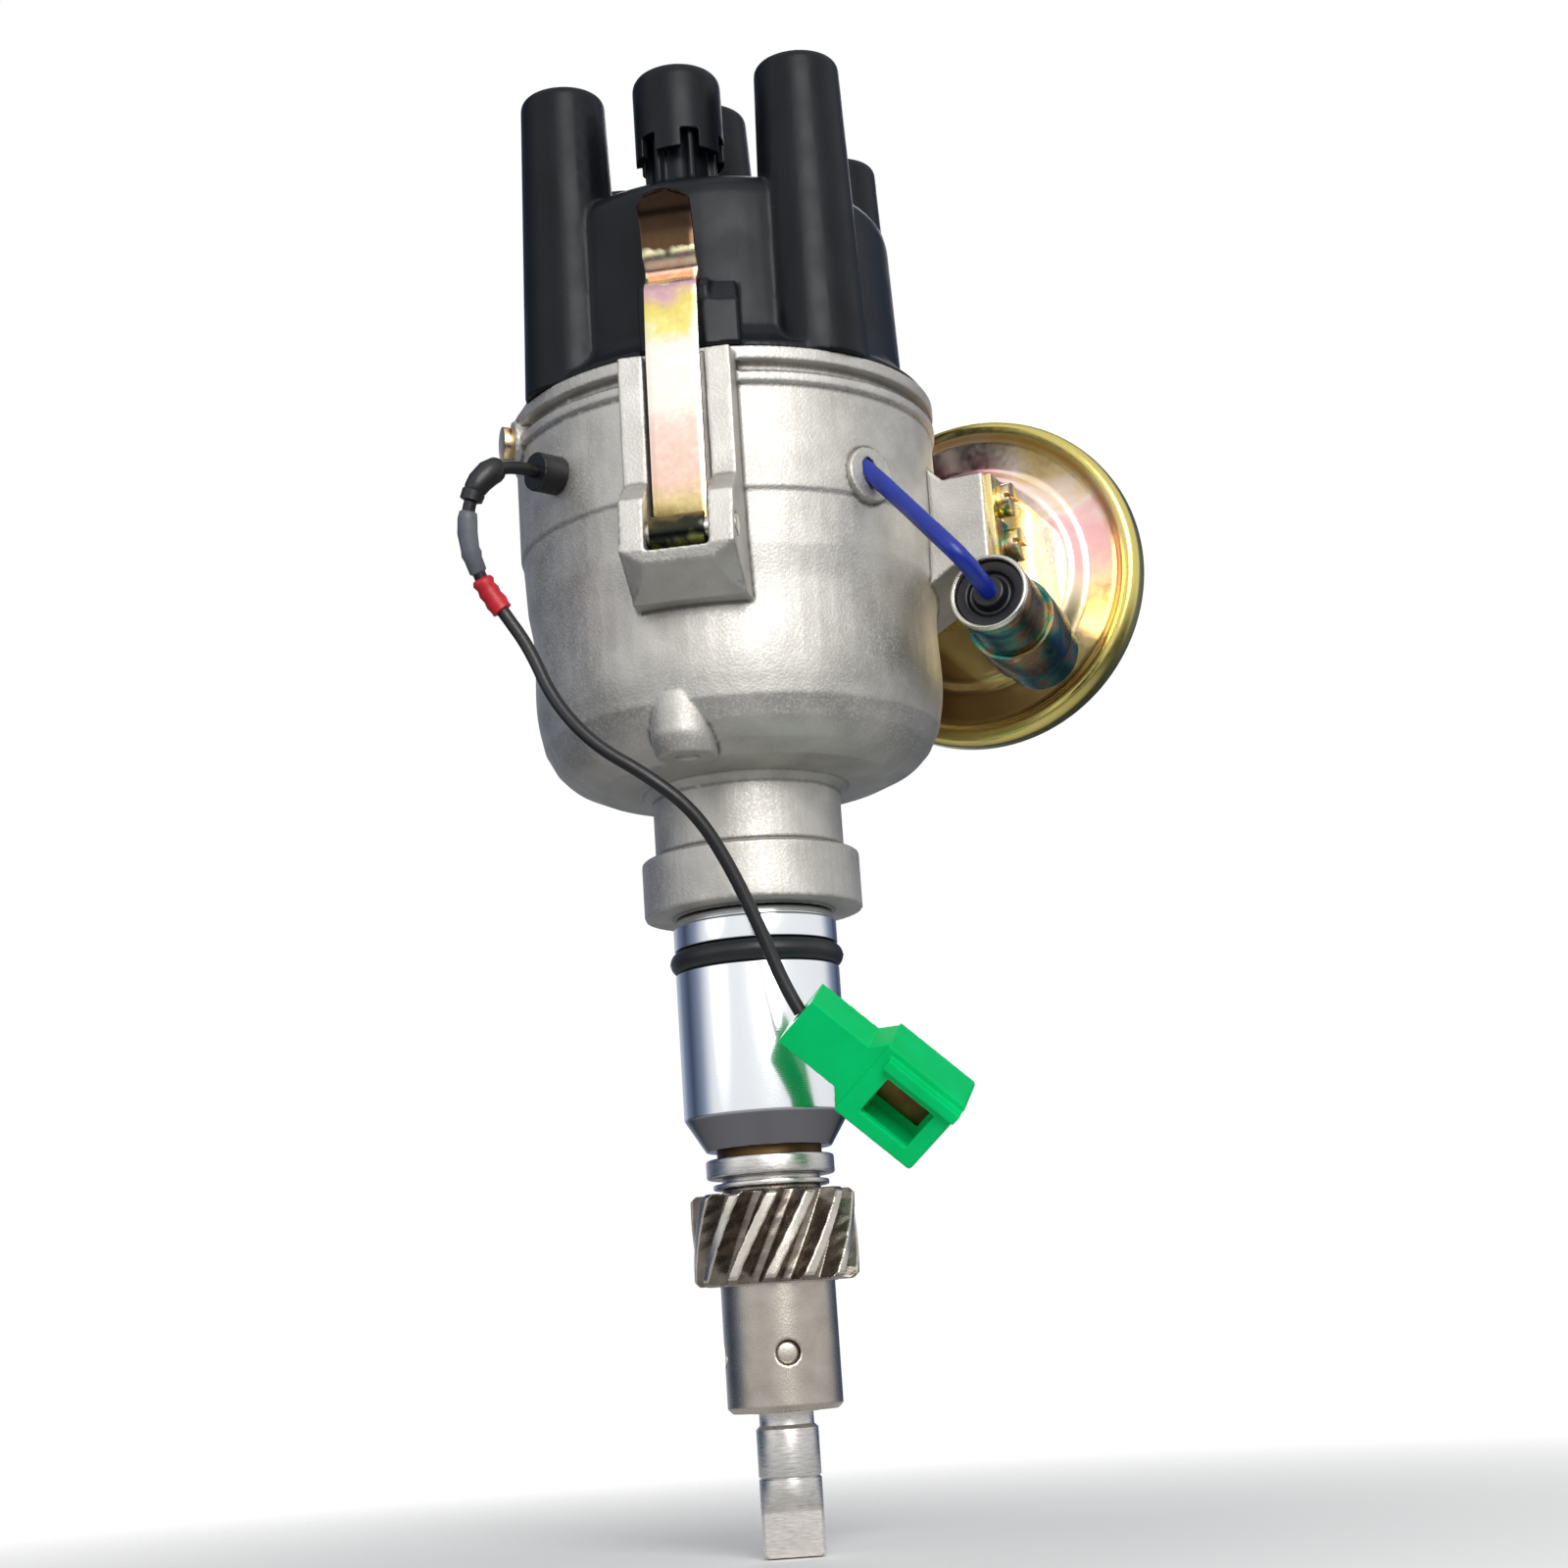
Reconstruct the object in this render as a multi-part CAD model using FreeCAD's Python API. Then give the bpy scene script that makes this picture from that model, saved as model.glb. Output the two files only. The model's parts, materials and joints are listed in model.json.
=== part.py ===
import FreeCAD, Part
import os
from math import atan2, cos, degrees, pi, radians, sin, sqrt, tan

# Four-cylinder ignition distributor, millimetres.
# Origin on the shaft axis at the clamping collar's underside, +Z up to the cap, -Y to the front clip.
# An azimuth is measured from -Y towards +X, seen from above.

os.makedirs("parts", exist_ok=True)

V = FreeCAD.Vector
UP = V(0, 0, 1)
RUN_FIT = 0.05
BEND_STEPS = 4

# barrel, collar and neck
BARREL_R = 15.2
BARREL_BOTTOM = -37.6
NOSE_R = 11.5
NOSE_BOTTOM = -43.6
RELIEF_R = 14.6
RELIEF_H = 2.2
ORING_R = 1.9
ORING_Z = -8.6
ORING_PROUD = 0.9
ORING_SIDES = 12
COLLAR_R = 20.4
COLLAR_H = 10.4
NECK_R = 17.7
NECK_TOP = 23.5

# bowl: its foot goes round the governor, its top round the breaker stage
GOV_PLATE_R = 25.0
BOWL_FOOT_ROOM = 2.0
BOWL_FOOT_R = GOV_PLATE_R + BOWL_FOOT_ROOM
BOWL_TURN_ROOM = 6.8
BOWL_TURN_R = GOV_PLATE_R + BOWL_TURN_ROOM
BOWL_TURN_Z = 28.6
BOWL_LOW_ROOM = 10.9
BOWL_LOW_R = GOV_PLATE_R + BOWL_LOW_ROOM
BOWL_LOW_Z = 37.0
BOWL_TOP_R = 40.3
BOWL_TAPER = 0.9
BOWL_MID_R = BOWL_TOP_R - BOWL_TAPER
BOWL_MID_Z = 60.0
STEP_Z = 70.0
STEP = 0.4
WALL = 3.2
FLOOR_Z = 28.0
LEDGE_Z = 63.0
LEDGE_W = 2.0
RIM_PROUD = 0.7
RIM_R = BOWL_TOP_R + RIM_PROUD
RIM_H = 2.6
RIM_TOP = 96.8
RIB_H = 2.2
RIM_GROOVE_H = 2.4
RIM_GROOVE_SUNK = 1.2

# plated screw on the rim's left
RIM_SCREW_AZ = -74.0
RIM_SCREW_Z = 91.6
RIM_SCREW_HEAD_R = 3.3

# bushes and shaft
BUSH_R = 8.2
SHAFT_R = 6.0
BUSH_FLANGE_R = 9.6
BUSH_FLANGE_T = 1.4
UPPER_BUSH_BOTTOM = 8.0
LOWER_BUSH_TOP = -18.0
SPINDLE_R = 3.95
SHOULDER_Z = 40.2
SPINDLE_TOP = 90.0
TAIL_R = 5.6
NECKED_R = 4.9
NECKED_H = 3.0
TAIL_LINE_Z = -101.6
TANG_TOP = -104.5
TANG_TIP = -115.2
TANG_T = 5.0
TANG_RUNOUT = 3.0

# washers and drive gear
WASHER_R = 11.74
WASHER_T = 3.5
THIN_WASHER_R = 10.6
THIN_WASHER_T = 0.9
SPACER_R = 9.0
SPACER_T = 1.0
END_PLAY = 0.1
GEAR_R = 15.0
GEAR_ROOT_R = 11.7
GEAR_TOP = -51.5
GEAR_BOTTOM = -67.6
GEAR_TEETH = 13
GEAR_LEAD = 160.0
TOOTH_LAND = 1.5
TOOTH_FOOT = 4.0
GEAR_CHAMFER = 0.9
HELIX_STEPS = 6
HUB_R = 10.4
HUB_BOTTOM = -90.2
HUB_CHAMFER = 0.9
PIN_HOLE_R = 2.2
PIN_Z = -80.0
PIN_AZ = 6.0
PIN_SUNK = 1.6
BLIND_AZ = -84.0
BLIND_DEPTH = 4.0

# governor
GOV_PLATE_Z = 31.0
GOV_PLATE_T = 2.0
GOV_HUB_R = 9.0
WEIGHT_PIVOT = 17.0
WEIGHT_ARM = 8.0
WEIGHT_T = 6.4
WEIGHT_OUT_R = GOV_PLATE_R - 0.5
WEIGHT_IN_R = 10.6
POST_R = 2.0
DRIVE_PIN_R = 1.6
COIL_STEPS = 10
YOKE_T = 1.8
YOKE_R = 12.2
YOKE_EAR_R = 17.0
YOKE_EAR_ANGLE = 30.0
SPRING_POST_R = 21.0
SPRING_POST_ANGLE = 68.0
SMALL_POST_R = 1.0
SPRING_COIL_R = 1.7
SPRING_WIRE_R = 0.35

# cam and rotor
CAM_SLEEVE_R = 6.8
CAM_BORE_R = SPINDLE_R + RUN_FIT
CAM_MAX_R = 10.2
CAM_FLAT = 8.9
CAM_LOBE_BOTTOM = 68.6
CAM_LOBE_TOP = 80.6
CAM_TOP = 92.0
ROTOR_BOTTOM = 84.0
ROTOR_HUB_R = 10.0
ROTOR_HUB_TOP = 101.0
ROTOR_ARM_T = 4.0
ROTOR_ARM_R = 24.5
ROTOR_ARM_W = 11.0
ROTOR_AZ = 34.2
BLADE_T = 1.2
BLADE_R = 27.2
BLADE_W = 6.0

# breaker stage
PLATE_T = 1.6
PLATE_FIT = 0.2
FIXED_PLATE_R = BOWL_MID_R - WALL - PLATE_FIT
FIXED_HOLE_R = 14.0
PLATE_HUB_IN_R = 11.4
PLATE_HUB_WALL = 1.4
PLATE_EDGE_W = 6.5
BREAKER_PLATE_R = FIXED_PLATE_R - PLATE_EDGE_W
SNAP_RING_T = 0.8
SNAP_RING_W = 1.6
LUG_AZ = (150.0, -75.0)
SCREW_IN = 3.8
LUG_R = FIXED_PLATE_R - SCREW_IN
LUG_HALF = 3.6
SCREW_R = 1.5
SCREW_HEAD_R = 2.6
SCREW_HEAD_H = 1.6
POINTS_TURN = -15.0
LEVER_Y = -14.0
LEVER_T = 1.2
LEVER_H = 8.0
LEVER_BOTTOM = 71.0
PIVOT_X = -17.0
PIVOT_R = 1.9
PIVOT_BUSH_R = 3.4
CONTACT_X = 13.0
CONTACT_R = 2.0
CONTACT_T = 1.1
CONTACT_GAP = 0.45
CAM_CLEARANCE = 0.1
BLOCK_W = 5.0

# vacuum unit: D runs out from the shaft axis, C runs back along the can's axis
CAN_TURN = 24.0
CAN_D = 34.6
CAN_GAP = 1.2
CAN_C = BOWL_TOP_R + CAN_GAP
CAN_Z = 70.0
CAN_R = 34.1
CAN_STEP_R = 21.0
CAN_STEP_H = 2.4
CAN_SHEET = 1.0
CAN_RIM_W = 3.0
CAN_BODY_H = 6.0
CAN_DOME_H = 11.0
NIPPLE_R = 3.6
NIPPLE_BORE_R = 2.0
NIPPLE_L = 17.0
BARB_R = 4.3
DIAPHRAGM_T = 0.8
CUP_R = 16.0
ROD_R = 1.5
ROD_EYE_R = 4.0
ROD_EYE_T = 1.4
PLATE_PIN_D = 31.0
PLATE_PIN_R = 1.5
EYE_SLACK = 0.45
ARM_REACH = 10.7
ARM_END_D = BOWL_TOP_R + ARM_REACH
ARM_C = (3.0, 24.0)
ARM_Z = (61.0, 78.0)
BRACKET_T = 1.5
BRACKET_Z = (60.5, 77.5)
BRACKET_SCREW_C = 9.0
BRACKET_SCREW_Z = (64.5, 73.5)
BRACKET_HEAD_R = 3.2
BRACKET_HEAD_H = 2.4

# condenser
COND_OUT = 4.574
COND_AHEAD = 13.569
COND_Z = 49.6
COND_AXIS = V(0.388, 0.910, -0.144)
COND_R = 7.2
COND_L = 33.0
COND_SHEET = 0.7
COND_SEAL_SUNK = 1.2
STRAP_T = 0.9
STRAP_W = 11.0
STRAP_BACK = 13.0
COND_LEAD_R = 1.65
LEAD_HOLE_ROOM = 0.15
LEAD_BOSS_AZ = 40.0
LEAD_BOSS_Z = 74.0
LEAD_BOSS_R = 5.2
LEAD_BOSS_PROUD = 1.0
LEAD_TURN = 22.0
LEAD_FALL = 1.1
LEAD_STRAIGHT = 5.0
LEAD_BEND_IN = V(-9.4, -7.6, 9.6)
LEAD_BEND_OUT = V(-3.6, -10.4, 1.6)

# clips
CLIP_AZ = (-10.5, 169.5)
CLIP_PIN_OUT = 7.3
CLIP_PIN_Y = BOWL_TOP_R + CLIP_PIN_OUT
CLIP_PIN_Z = 60.4
CLIP_PIN_R = 2.0
CLIP_PIN_L = 21.0
CLIP_W = 9.8
CLIP_T = 1.0
LUG_W = 20.6
LUG_GAP = 11.4
LUG_DROP = 1.4
LUG_TOP = RIM_TOP - LUG_DROP
LUG_FOOT = 49.6
CHANNEL_OUT = 1.9
CHANNEL_Y = BOWL_TOP_R + CHANNEL_OUT
LUG_LIP = 7.8

# cap
CAP_R = RIM_R - 1.0
CAP_FLARE_H = 6.7
CAP_FLARE_Z = RIM_TOP + CAP_FLARE_H
CAP_FLARE_W = 4.5
CAP_BODY_R = CAP_R - CAP_FLARE_W
CAP_TAPER = 0.7
CAP_TOP_R = CAP_BODY_R - CAP_TAPER
CAP_H = 38.0
CAP_TOP = RIM_TOP + CAP_H
CAP_EDGE = 5.0
CAP_WALL = 4.9
CAP_CAVITY_R = CAP_BODY_R - CAP_WALL
CAP_ROOF = 6.8
CAP_CEILING = CAP_TOP - CAP_ROOF
SPIGOT_FIT = 0.3
SPIGOT_R = BOWL_MID_R - WALL - SPIGOT_FIT
SPIGOT_H = 3.0
SPIGOT_WALL = 2.3
SPIGOT_IN_R = SPIGOT_R - SPIGOT_WALL
GASKET_W = 1.8
GASKET_R = (SPIGOT_R + 0.7, SPIGOT_R + 0.7 + GASKET_W)
GASKET_T = 1.0
TOWER_IN = 3.0
TOWER_AT = CAP_BODY_R - TOWER_IN
TOWER_R = 8.1
TOWER_FOOT_R = 9.8
TOWER_H = 23.2
TOWER_TOP = CAP_TOP + TOWER_H
TOWER_EDGE = 1.6
TOWER_AZ = (-55.8, 34.2, 124.2, -145.8)
COIL_TOWER_R = 8.6
COIL_TOWER_H = 27.2
COIL_TOWER_TOP = CAP_TOP + COIL_TOWER_H
SOCKET_R = 4.6
CUP_DEPTH = 9.0
CUP_FLOOR_T = 1.0
SOCKET_BOTTOM = CAP_CEILING + CUP_FLOOR_T + CUP_DEPTH
CUP_OUT_R = 5.0
CUP_WALL = 0.8
CUP_SUNK = 0.6
TERMINAL_R = 2.2
TERMINAL_IN = 2.1
TERMINAL_AT = TOWER_AT - TERMINAL_IN
TERMINAL_BOTTOM = 102.0
BRUSH_R = 2.4
BRUSH_L = 9.0
VENT_AZ = -10.8
VENT_AT = 25.0
VENT_R = 8.4
VENT_GAP = 7.2
VENT_BOTTOM = CAP_TOP + VENT_GAP
VENT_H = 16.0
VENT_TOP = VENT_BOTTOM + VENT_H
VENT_WALL = 1.4
VENT_POST_R = 5.2
VENT_SLOTS = 6
VENT_EDGE = 2.2
KEY_AZ = 1.5
KEY_W = 6.5
KEY_H = 13.8

# low-tension lead
LEAD_R = 1.2
TUBE_SIDES = 8
GROMMET_AZ = -50.0
GROMMET_Z = 79.5
GROMMET_R = 3.6
GROMMET_PROUD = 5.0
LEAD_ROUTE = [
    (-39.7, -33.3, 79.9),
    (-45.0, -36.0, 75.6),
    (-47.4, -34.4, 67.2),
    (-45.4, -31.0, 59.2),
    (-41.2, -29.6, 52.6),
    (-37.0, -30.0, 45.8),
    (-33.2, -31.4, 35.6),
    (-26.4, -33.4, 26.6),
    (-17.2, -34.6, 20.2),
    (-9.0, -33.4, 13.2),
    (-3.4, -31.0, 3.2),
    (1.4, -28.8, -8.6),
    (4.4, -27.5, -17.4),
]
SLEEVE_R = 2.0
PLUG_AXIS = V(0.745, 0.0, -0.667)
PLUG_W = (10.2, 16.4)
PLUG_T = (8.4, 10.2)
PLUG_L = (15.0, 17.0)
PLUG_WALL = 1.6
PLUG_SUNK = 1.0


def azimuth(az, r, z=0.0):
    return V(r * sin(radians(az)), -r * cos(radians(az)), z)


def revolve(points):
    """A solid of revolution about Z from (radius, z) points in order."""
    wire = Part.makePolygon([V(r, 0, z) for r, z in points + points[:1]])
    return Part.Face(wire).revolve(V(0, 0, 0), UP, 360)


def bend(a, b, c):
    """Points (radius, z) along the arc through three such points, ends included."""
    edge = arc(V(a[0], 0, a[1]), V(b[0], 0, b[1]), V(c[0], 0, c[1]))
    return [(p.x, p.z) for p in edge.discretize(BEND_STEPS + 1)]


def round_edge(r, z, size):
    """Points of a rounded top edge, from the side wall to the flat top."""
    return bend((r, z - size), (r - 0.293 * size, z - 0.293 * size), (r - size, z))


def polyhedron(corners, triangles):
    """A solid with flat triangular faces."""
    shell = Part.Shape()
    shell.makeShapeFromMesh((corners, triangles), 0.0001)
    return Part.Solid(shell.Shells[0])


def stacked(rings, sides):
    """A closed solid through equal rings of corners, one after another."""
    corners = [p for ring_points in rings for p in ring_points]
    triangles = []
    for i in range(len(rings) - 1):
        for j in range(sides):
            a = i * sides + j
            b = i * sides + (j + 1) % sides
            triangles += [(a, b, b + sides), (a, b + sides, a + sides)]
    last = (len(rings) - 1) * sides
    for j in range(1, sides - 1):
        triangles += [(0, j + 1, j), (last, last + j, last + j + 1)]
    return polyhedron(corners, triangles)


def line(a, b):
    return Part.LineSegment(a, b).toShape()


def arc(a, b, c):
    return Part.Arc(a, b, c).toShape()


def disc(r, z0, z1, at=None):
    at = at or V(0, 0, 0)
    return Part.makeCylinder(r, z1 - z0, V(at.x, at.y, z0))


def ring(r, r_in, z0, z1, at=None):
    return disc(r, z0, z1, at).cut(disc(r_in, z0 - 1, z1 + 1, at))


def block(x0, x1, y0, y1, z0, z1):
    return Part.makeBox(x1 - x0, y1 - y0, z1 - z0, V(x0, y0, z0))


def extrude(points, direction):
    wire = Part.makePolygon(list(points) + [points[0]])
    return Part.Face(wire).extrude(direction)


def turned(shape, angle, z=0.0):
    shape = shape.copy()
    shape.rotate(V(0, 0, z), UP, angle)
    return shape


def rod(a, b, r):
    way = b.sub(a)
    return Part.makeCylinder(r, way.Length, a, way)


def fuse(first, *others):
    return first.fuse(list(others)).removeSplitter()


def cut(shape, *tools):
    return shape.cut(list(tools))


def solids(*shapes):
    return Part.makeCompound(list(shapes))


def can_frame(shape):
    """Moves a shape from the can's own frame, Z along its axis, to its place."""
    out = azimuth(90 - CAN_TURN, 1.0)
    back = V(sin(radians(CAN_TURN)), cos(radians(CAN_TURN)), 0)
    at = can_point(CAN_D, CAN_C, CAN_Z)
    m = FreeCAD.Matrix(out.x, 0, back.x, at.x, out.y, 0, back.y, at.y, 0, -1, 0, at.z, 0, 0, 0, 1)
    return shape.transformShape(m, True)


def can_point(d, c, z):
    t = radians(CAN_TURN)
    return V(d * cos(t) + c * sin(t), -d * sin(t) + c * cos(t), z)


def can_block(d0, d1, c0, c1, z0, z1):
    """A box whose sides follow the can's D and C directions."""
    corners = [can_point(d0, c0, z0), can_point(d1, c0, z0), can_point(d1, c1, z0), can_point(d0, c1, z0)]
    return extrude(corners, V(0, 0, z1 - z0))


def route(points, name):
    """Straight runs joined by tangent arcs, each as large as its two runs allow."""
    points = [V(*p) for p in points]
    edges = []
    start = points[0]
    radii = []
    for a, b, c in zip(points, points[1:], points[2:]):
        before = b.sub(a)
        after = c.sub(b)
        turn = before.getAngle(after)
        reach = 0.45 * min(before.Length, after.Length)
        radius = reach / tan(turn / 2)
        u = before.normalize()
        w = after.normalize()
        enter = b - u * reach
        leave = b + w * reach
        inward = (w - u).normalize()
        centre_gap = radius / cos(turn / 2)
        middle = b + inward * (centre_gap - radius)
        edges.append(line(start, enter))
        edges.append(arc(enter, middle, leave))
        start = leave
        radii.append(round(radius, 1))
    edges.append(line(start, points[-1]))
    print(name, "arc radii", radii)
    return Part.Wire(edges)


def tube(points, r, name):
    path = route(points, name)
    first = V(*points[0])
    way = V(*points[1]).sub(first)
    share = 2 * pi / TUBE_SIDES
    corner_r = r * sqrt(share / sin(share))
    ring_points = [V(corner_r * cos(i * share), corner_r * sin(i * share), 0) for i in range(TUBE_SIDES)]
    section = placed(Part.makePolygon(ring_points + ring_points[:1]), first, first + way)
    solid = path.makePipeShell([section], True, False)
    expected = pi * r * r * path.Length
    print(name, "length", round(path.Length, 1), "volume ratio", round(solid.Volume / expected, 4))
    return solid


def coil(r, wire_r, length, turns, a, b):
    """A helical spring from point a to point b, its wire drawn square."""
    half = wire_r * sqrt(pi) / 2
    count = turns * COIL_STEPS
    rings = []
    for i in range(count + 1):
        turn = 2 * pi * i / COIL_STEPS
        z = half + (length - 2 * half) * i / count
        corners = [(r - half, z - half), (r + half, z - half), (r + half, z + half), (r - half, z + half)]
        rings.append([V(x * cos(turn), x * sin(turn), y) for x, y in corners])
    return placed(stacked(rings, 4), a, b)


def placed(shape, a, b):
    """Turns a shape built along Z so that it runs from a towards b."""
    turn = FreeCAD.Rotation(UP, b.sub(a))
    shape = shape.copy()
    shape.Placement = FreeCAD.Placement(a, turn).multiply(shape.Placement)
    return shape


# housing

def housing_outside():
    groove_top = RIM_TOP - RIM_H
    groove_bottom = groove_top - RIM_GROOVE_H
    points = [
        (0, NOSE_BOTTOM),
        (NOSE_R, NOSE_BOTTOM),
        (BARREL_R, BARREL_BOTTOM),
        (BARREL_R, -RELIEF_H),
        (RELIEF_R, -RELIEF_H),
        (RELIEF_R, 0),
        (COLLAR_R, 0),
        (COLLAR_R, COLLAR_H),
        (NECK_R, COLLAR_H + 0.8),
        (NECK_R, NECK_TOP - 1.6),
        (NECK_R + 1.6, NECK_TOP),
    ]
    points += bend((BOWL_FOOT_R, NECK_TOP + 0.9), (BOWL_TURN_R + 0.8, BOWL_TURN_Z), (BOWL_LOW_R, BOWL_LOW_Z))
    points += [
        (BOWL_MID_R, BOWL_MID_Z),
        (BOWL_TOP_R - STEP, STEP_Z),
        (BOWL_TOP_R, STEP_Z + STEP),
        (BOWL_TOP_R, groove_bottom - RIB_H),
        (RIM_R, groove_bottom - RIB_H + 0.6),
        (RIM_R, groove_bottom),
        (BOWL_TOP_R - RIM_GROOVE_SUNK, groove_bottom + 0.5),
        (BOWL_TOP_R - RIM_GROOVE_SUNK, groove_top - 0.3),
        (RIM_R, groove_top),
        (RIM_R, RIM_TOP),
        (0, RIM_TOP),
    ]
    groove = ring(BARREL_R + 5, BARREL_R - 2 * ORING_R + ORING_PROUD, ORING_Z - ORING_R, ORING_Z + ORING_R)
    return revolve(points).cut(groove)


def bowl_wall_r():
    return BOWL_MID_R - WALL


def housing_inside():
    floor_r = BOWL_FOOT_R - WALL
    low_r = BOWL_LOW_R - WALL
    low_z = BOWL_LOW_Z + 2.0
    ledge_r = bowl_wall_r() - LEDGE_W
    upper_r = bowl_wall_r() + 0.1
    points = [(0, FLOOR_Z)]
    points += bend((floor_r, FLOOR_Z), (BOWL_TURN_R - WALL + 0.6, BOWL_TURN_Z + 3.0), (low_r, low_z))
    points += [(ledge_r, LEDGE_Z), (upper_r, LEDGE_Z), (upper_r, RIM_TOP + 1), (0, RIM_TOP + 1)]
    return revolve(points)


def clip_lug(az):
    """Cast lug with two ears, a channel for the clip, and a foot that tapers to a lip under the clip's loop."""
    inner = -bowl_wall_r() - 0.3
    skin = -BOWL_TOP_R
    pin_y = -CLIP_PIN_Y
    pin_z = CLIP_PIN_Z
    front = pin_y - 3.6
    side = [
        (inner, LUG_TOP),
        (skin - 3.7, LUG_TOP),
        (skin - 4.3, pin_z + 10.6),
        (pin_y - 2.0, pin_z + 6.2),
        (front, pin_z - 3.6),
        (front + 0.8, pin_z - 6.2),
        (skin - 1.6, LUG_FOOT),
        (inner, LUG_FOOT),
    ]
    lug = extrude([V(-LUG_W / 2, y, z) for y, z in side], V(LUG_W, 0, 0))
    lug = lug.cut([lug_facet(1), lug_facet(-1)])
    slot = [
        (front - 9, LUG_TOP + 2),
        (-CHANNEL_Y, LUG_TOP + 2),
        (-CHANNEL_Y, pin_z + 6.4),
        (pin_y + 4.2, pin_z + 4.1),
        (pin_y + 4.2, pin_z - 2.8),
        (pin_y + 3.2, pin_z - 3.8),
        (front - 9, pin_z - 3.8),
    ]
    channel = extrude([V(-LUG_GAP / 2, y, z) for y, z in slot], V(LUG_GAP, 0, 0))
    hole = rod(V(-LUG_W, pin_y, pin_z), V(LUG_W, pin_y, pin_z), CLIP_PIN_R)
    return turned(lug, az), turned(channel, az), turned(hole, az)


def lug_facet(way):
    """Corner cut from one side of the lug's foot, between the ear, the lip and the bowl."""
    out = way * (LUG_W / 2 + 1.2)
    corners = [
        V(out, -CLIP_PIN_Y - 4.9, CLIP_PIN_Z - 2.2),
        V(way * LUG_LIP / 2, -CLIP_PIN_Y - 3.9, CLIP_PIN_Z - 6.5),
        V(out, -BOWL_TOP_R + 0.1, LUG_FOOT),
        V(out, -CLIP_PIN_Y - 6.4, LUG_FOOT - 5.6),
    ]
    turns = [(0, 1, 2), (0, 3, 1), (0, 2, 3), (1, 3, 2)]
    if way < 0:
        turns = [(a, c, b) for a, b, c in turns]
    return polyhedron(corners, turns)


def side_arm():
    """Cast arm that carries the vacuum unit, with sloped upper and lower faces."""
    c0, c1 = ARM_C
    z0, z1 = ARM_Z
    inner_d = 30.0
    slope = 5.0
    section = [
        can_point(inner_d, c0, z0 - 8),
        can_point(ARM_END_D - 12, c0, z0 - 3),
        can_point(ARM_END_D - 7, c0, z0),
        can_point(ARM_END_D, c0, z0),
        can_point(ARM_END_D, c0, z1),
        can_point(ARM_END_D - 8, c0, z1),
        can_point(ARM_END_D - 13, c0, z1 + slope),
        can_point(inner_d, c0, z1 + slope),
    ]
    way = can_point(0, c1 - c0, 0)
    return extrude(section, way)


def rod_window():
    return can_block(PLATE_PIN_D - 5.0, CAN_D + 5.0, 9.0, CAN_C, CAN_Z - 5.5, CAN_Z + 3.5)


def lead_boss():
    start = azimuth(LEAD_BOSS_AZ, BOWL_TOP_R - 4, LEAD_BOSS_Z)
    end = azimuth(LEAD_BOSS_AZ, BOWL_TOP_R + LEAD_BOSS_PROUD, LEAD_BOSS_Z)
    return rod(start, end, LEAD_BOSS_R)


def drain_boss():
    at = V(-9.8, -28.8, 0)
    post = disc(5.4, 24.0, 34.5, at)
    dome = Part.makeCone(5.4, 3.0, 4.0, V(at.x, at.y, 34.5))
    return fuse(post, dome), disc(2.2, 20.0, 30.0, at)


def screw_lug(az):
    """Inner lug under the fixed plate, with its screw hole."""
    reach = bowl_wall_r() + 1.0
    lug = block(-LUG_HALF, LUG_HALF, -reach, -LUG_R + LUG_HALF, LEDGE_Z - 8, LEDGE_Z)
    return turned(lug, az), disc(SCREW_R, LEDGE_Z - 9, LEDGE_Z + 1, azimuth(az, LUG_R))


def housing():
    body = housing_outside()
    extras = []
    cuts = []
    for az in CLIP_AZ:
        lug, channel, hole = clip_lug(az)
        extras.append(lug)
        cuts += [channel, hole]
    boss, boss_hole = drain_boss()
    rim_boss = rod(azimuth(RIM_SCREW_AZ, BOWL_TOP_R - 3, RIM_SCREW_Z), azimuth(RIM_SCREW_AZ, RIM_R + 0.8, RIM_SCREW_Z), 4.4)
    body = fuse(body, side_arm(), lead_boss(), boss, rim_boss, *extras)
    body = cut(body, housing_inside(), disc(BUSH_R, NOSE_BOTTOM - 1, FLOOR_Z + 1), *cuts)
    inner = []
    holes = [boss_hole, rod_window(), lead_hole(), grommet_hole(), rim_screw_hole()]
    for az in LUG_AZ:
        lug, hole = screw_lug(az)
        inner.append(lug)
        holes.append(hole)
    for z in BRACKET_SCREW_Z:
        holes.append(rod(can_point(ARM_END_D - 8, BRACKET_SCREW_C, z), can_point(ARM_END_D + 1, BRACKET_SCREW_C, z), SCREW_R))
    return fuse(body, *inner).cut(holes)


def rim_screw_hole():
    return rod(azimuth(RIM_SCREW_AZ, bowl_wall_r() - 2, RIM_SCREW_Z), azimuth(RIM_SCREW_AZ, RIM_R + 2, RIM_SCREW_Z), SCREW_R)


def rim_screw():
    seat = RIM_R + 0.8
    shank = rod(azimuth(RIM_SCREW_AZ, bowl_wall_r() + 0.4, RIM_SCREW_Z), azimuth(RIM_SCREW_AZ, seat, RIM_SCREW_Z), SCREW_R)
    head = rod(azimuth(RIM_SCREW_AZ, seat, RIM_SCREW_Z), azimuth(RIM_SCREW_AZ, seat + 2.0, RIM_SCREW_Z), RIM_SCREW_HEAD_R)
    return fuse(shank, head)


def lead_hole():
    start, mouth = lead_way_out()
    way = (mouth - start).normalize()
    return rod(start - way * 5, mouth, COND_LEAD_R + LEAD_HOLE_ROOM)


def grommet_hole():
    return rod(azimuth(GROMMET_AZ, 30, GROMMET_Z), azimuth(GROMMET_AZ, BOWL_TOP_R + 3, GROMMET_Z), GROMMET_R - 0.6)


# bushes, seal, shaft

def upper_bush():
    return ring(BUSH_R, SHAFT_R + RUN_FIT, UPPER_BUSH_BOTTOM, FLOOR_Z)


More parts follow.
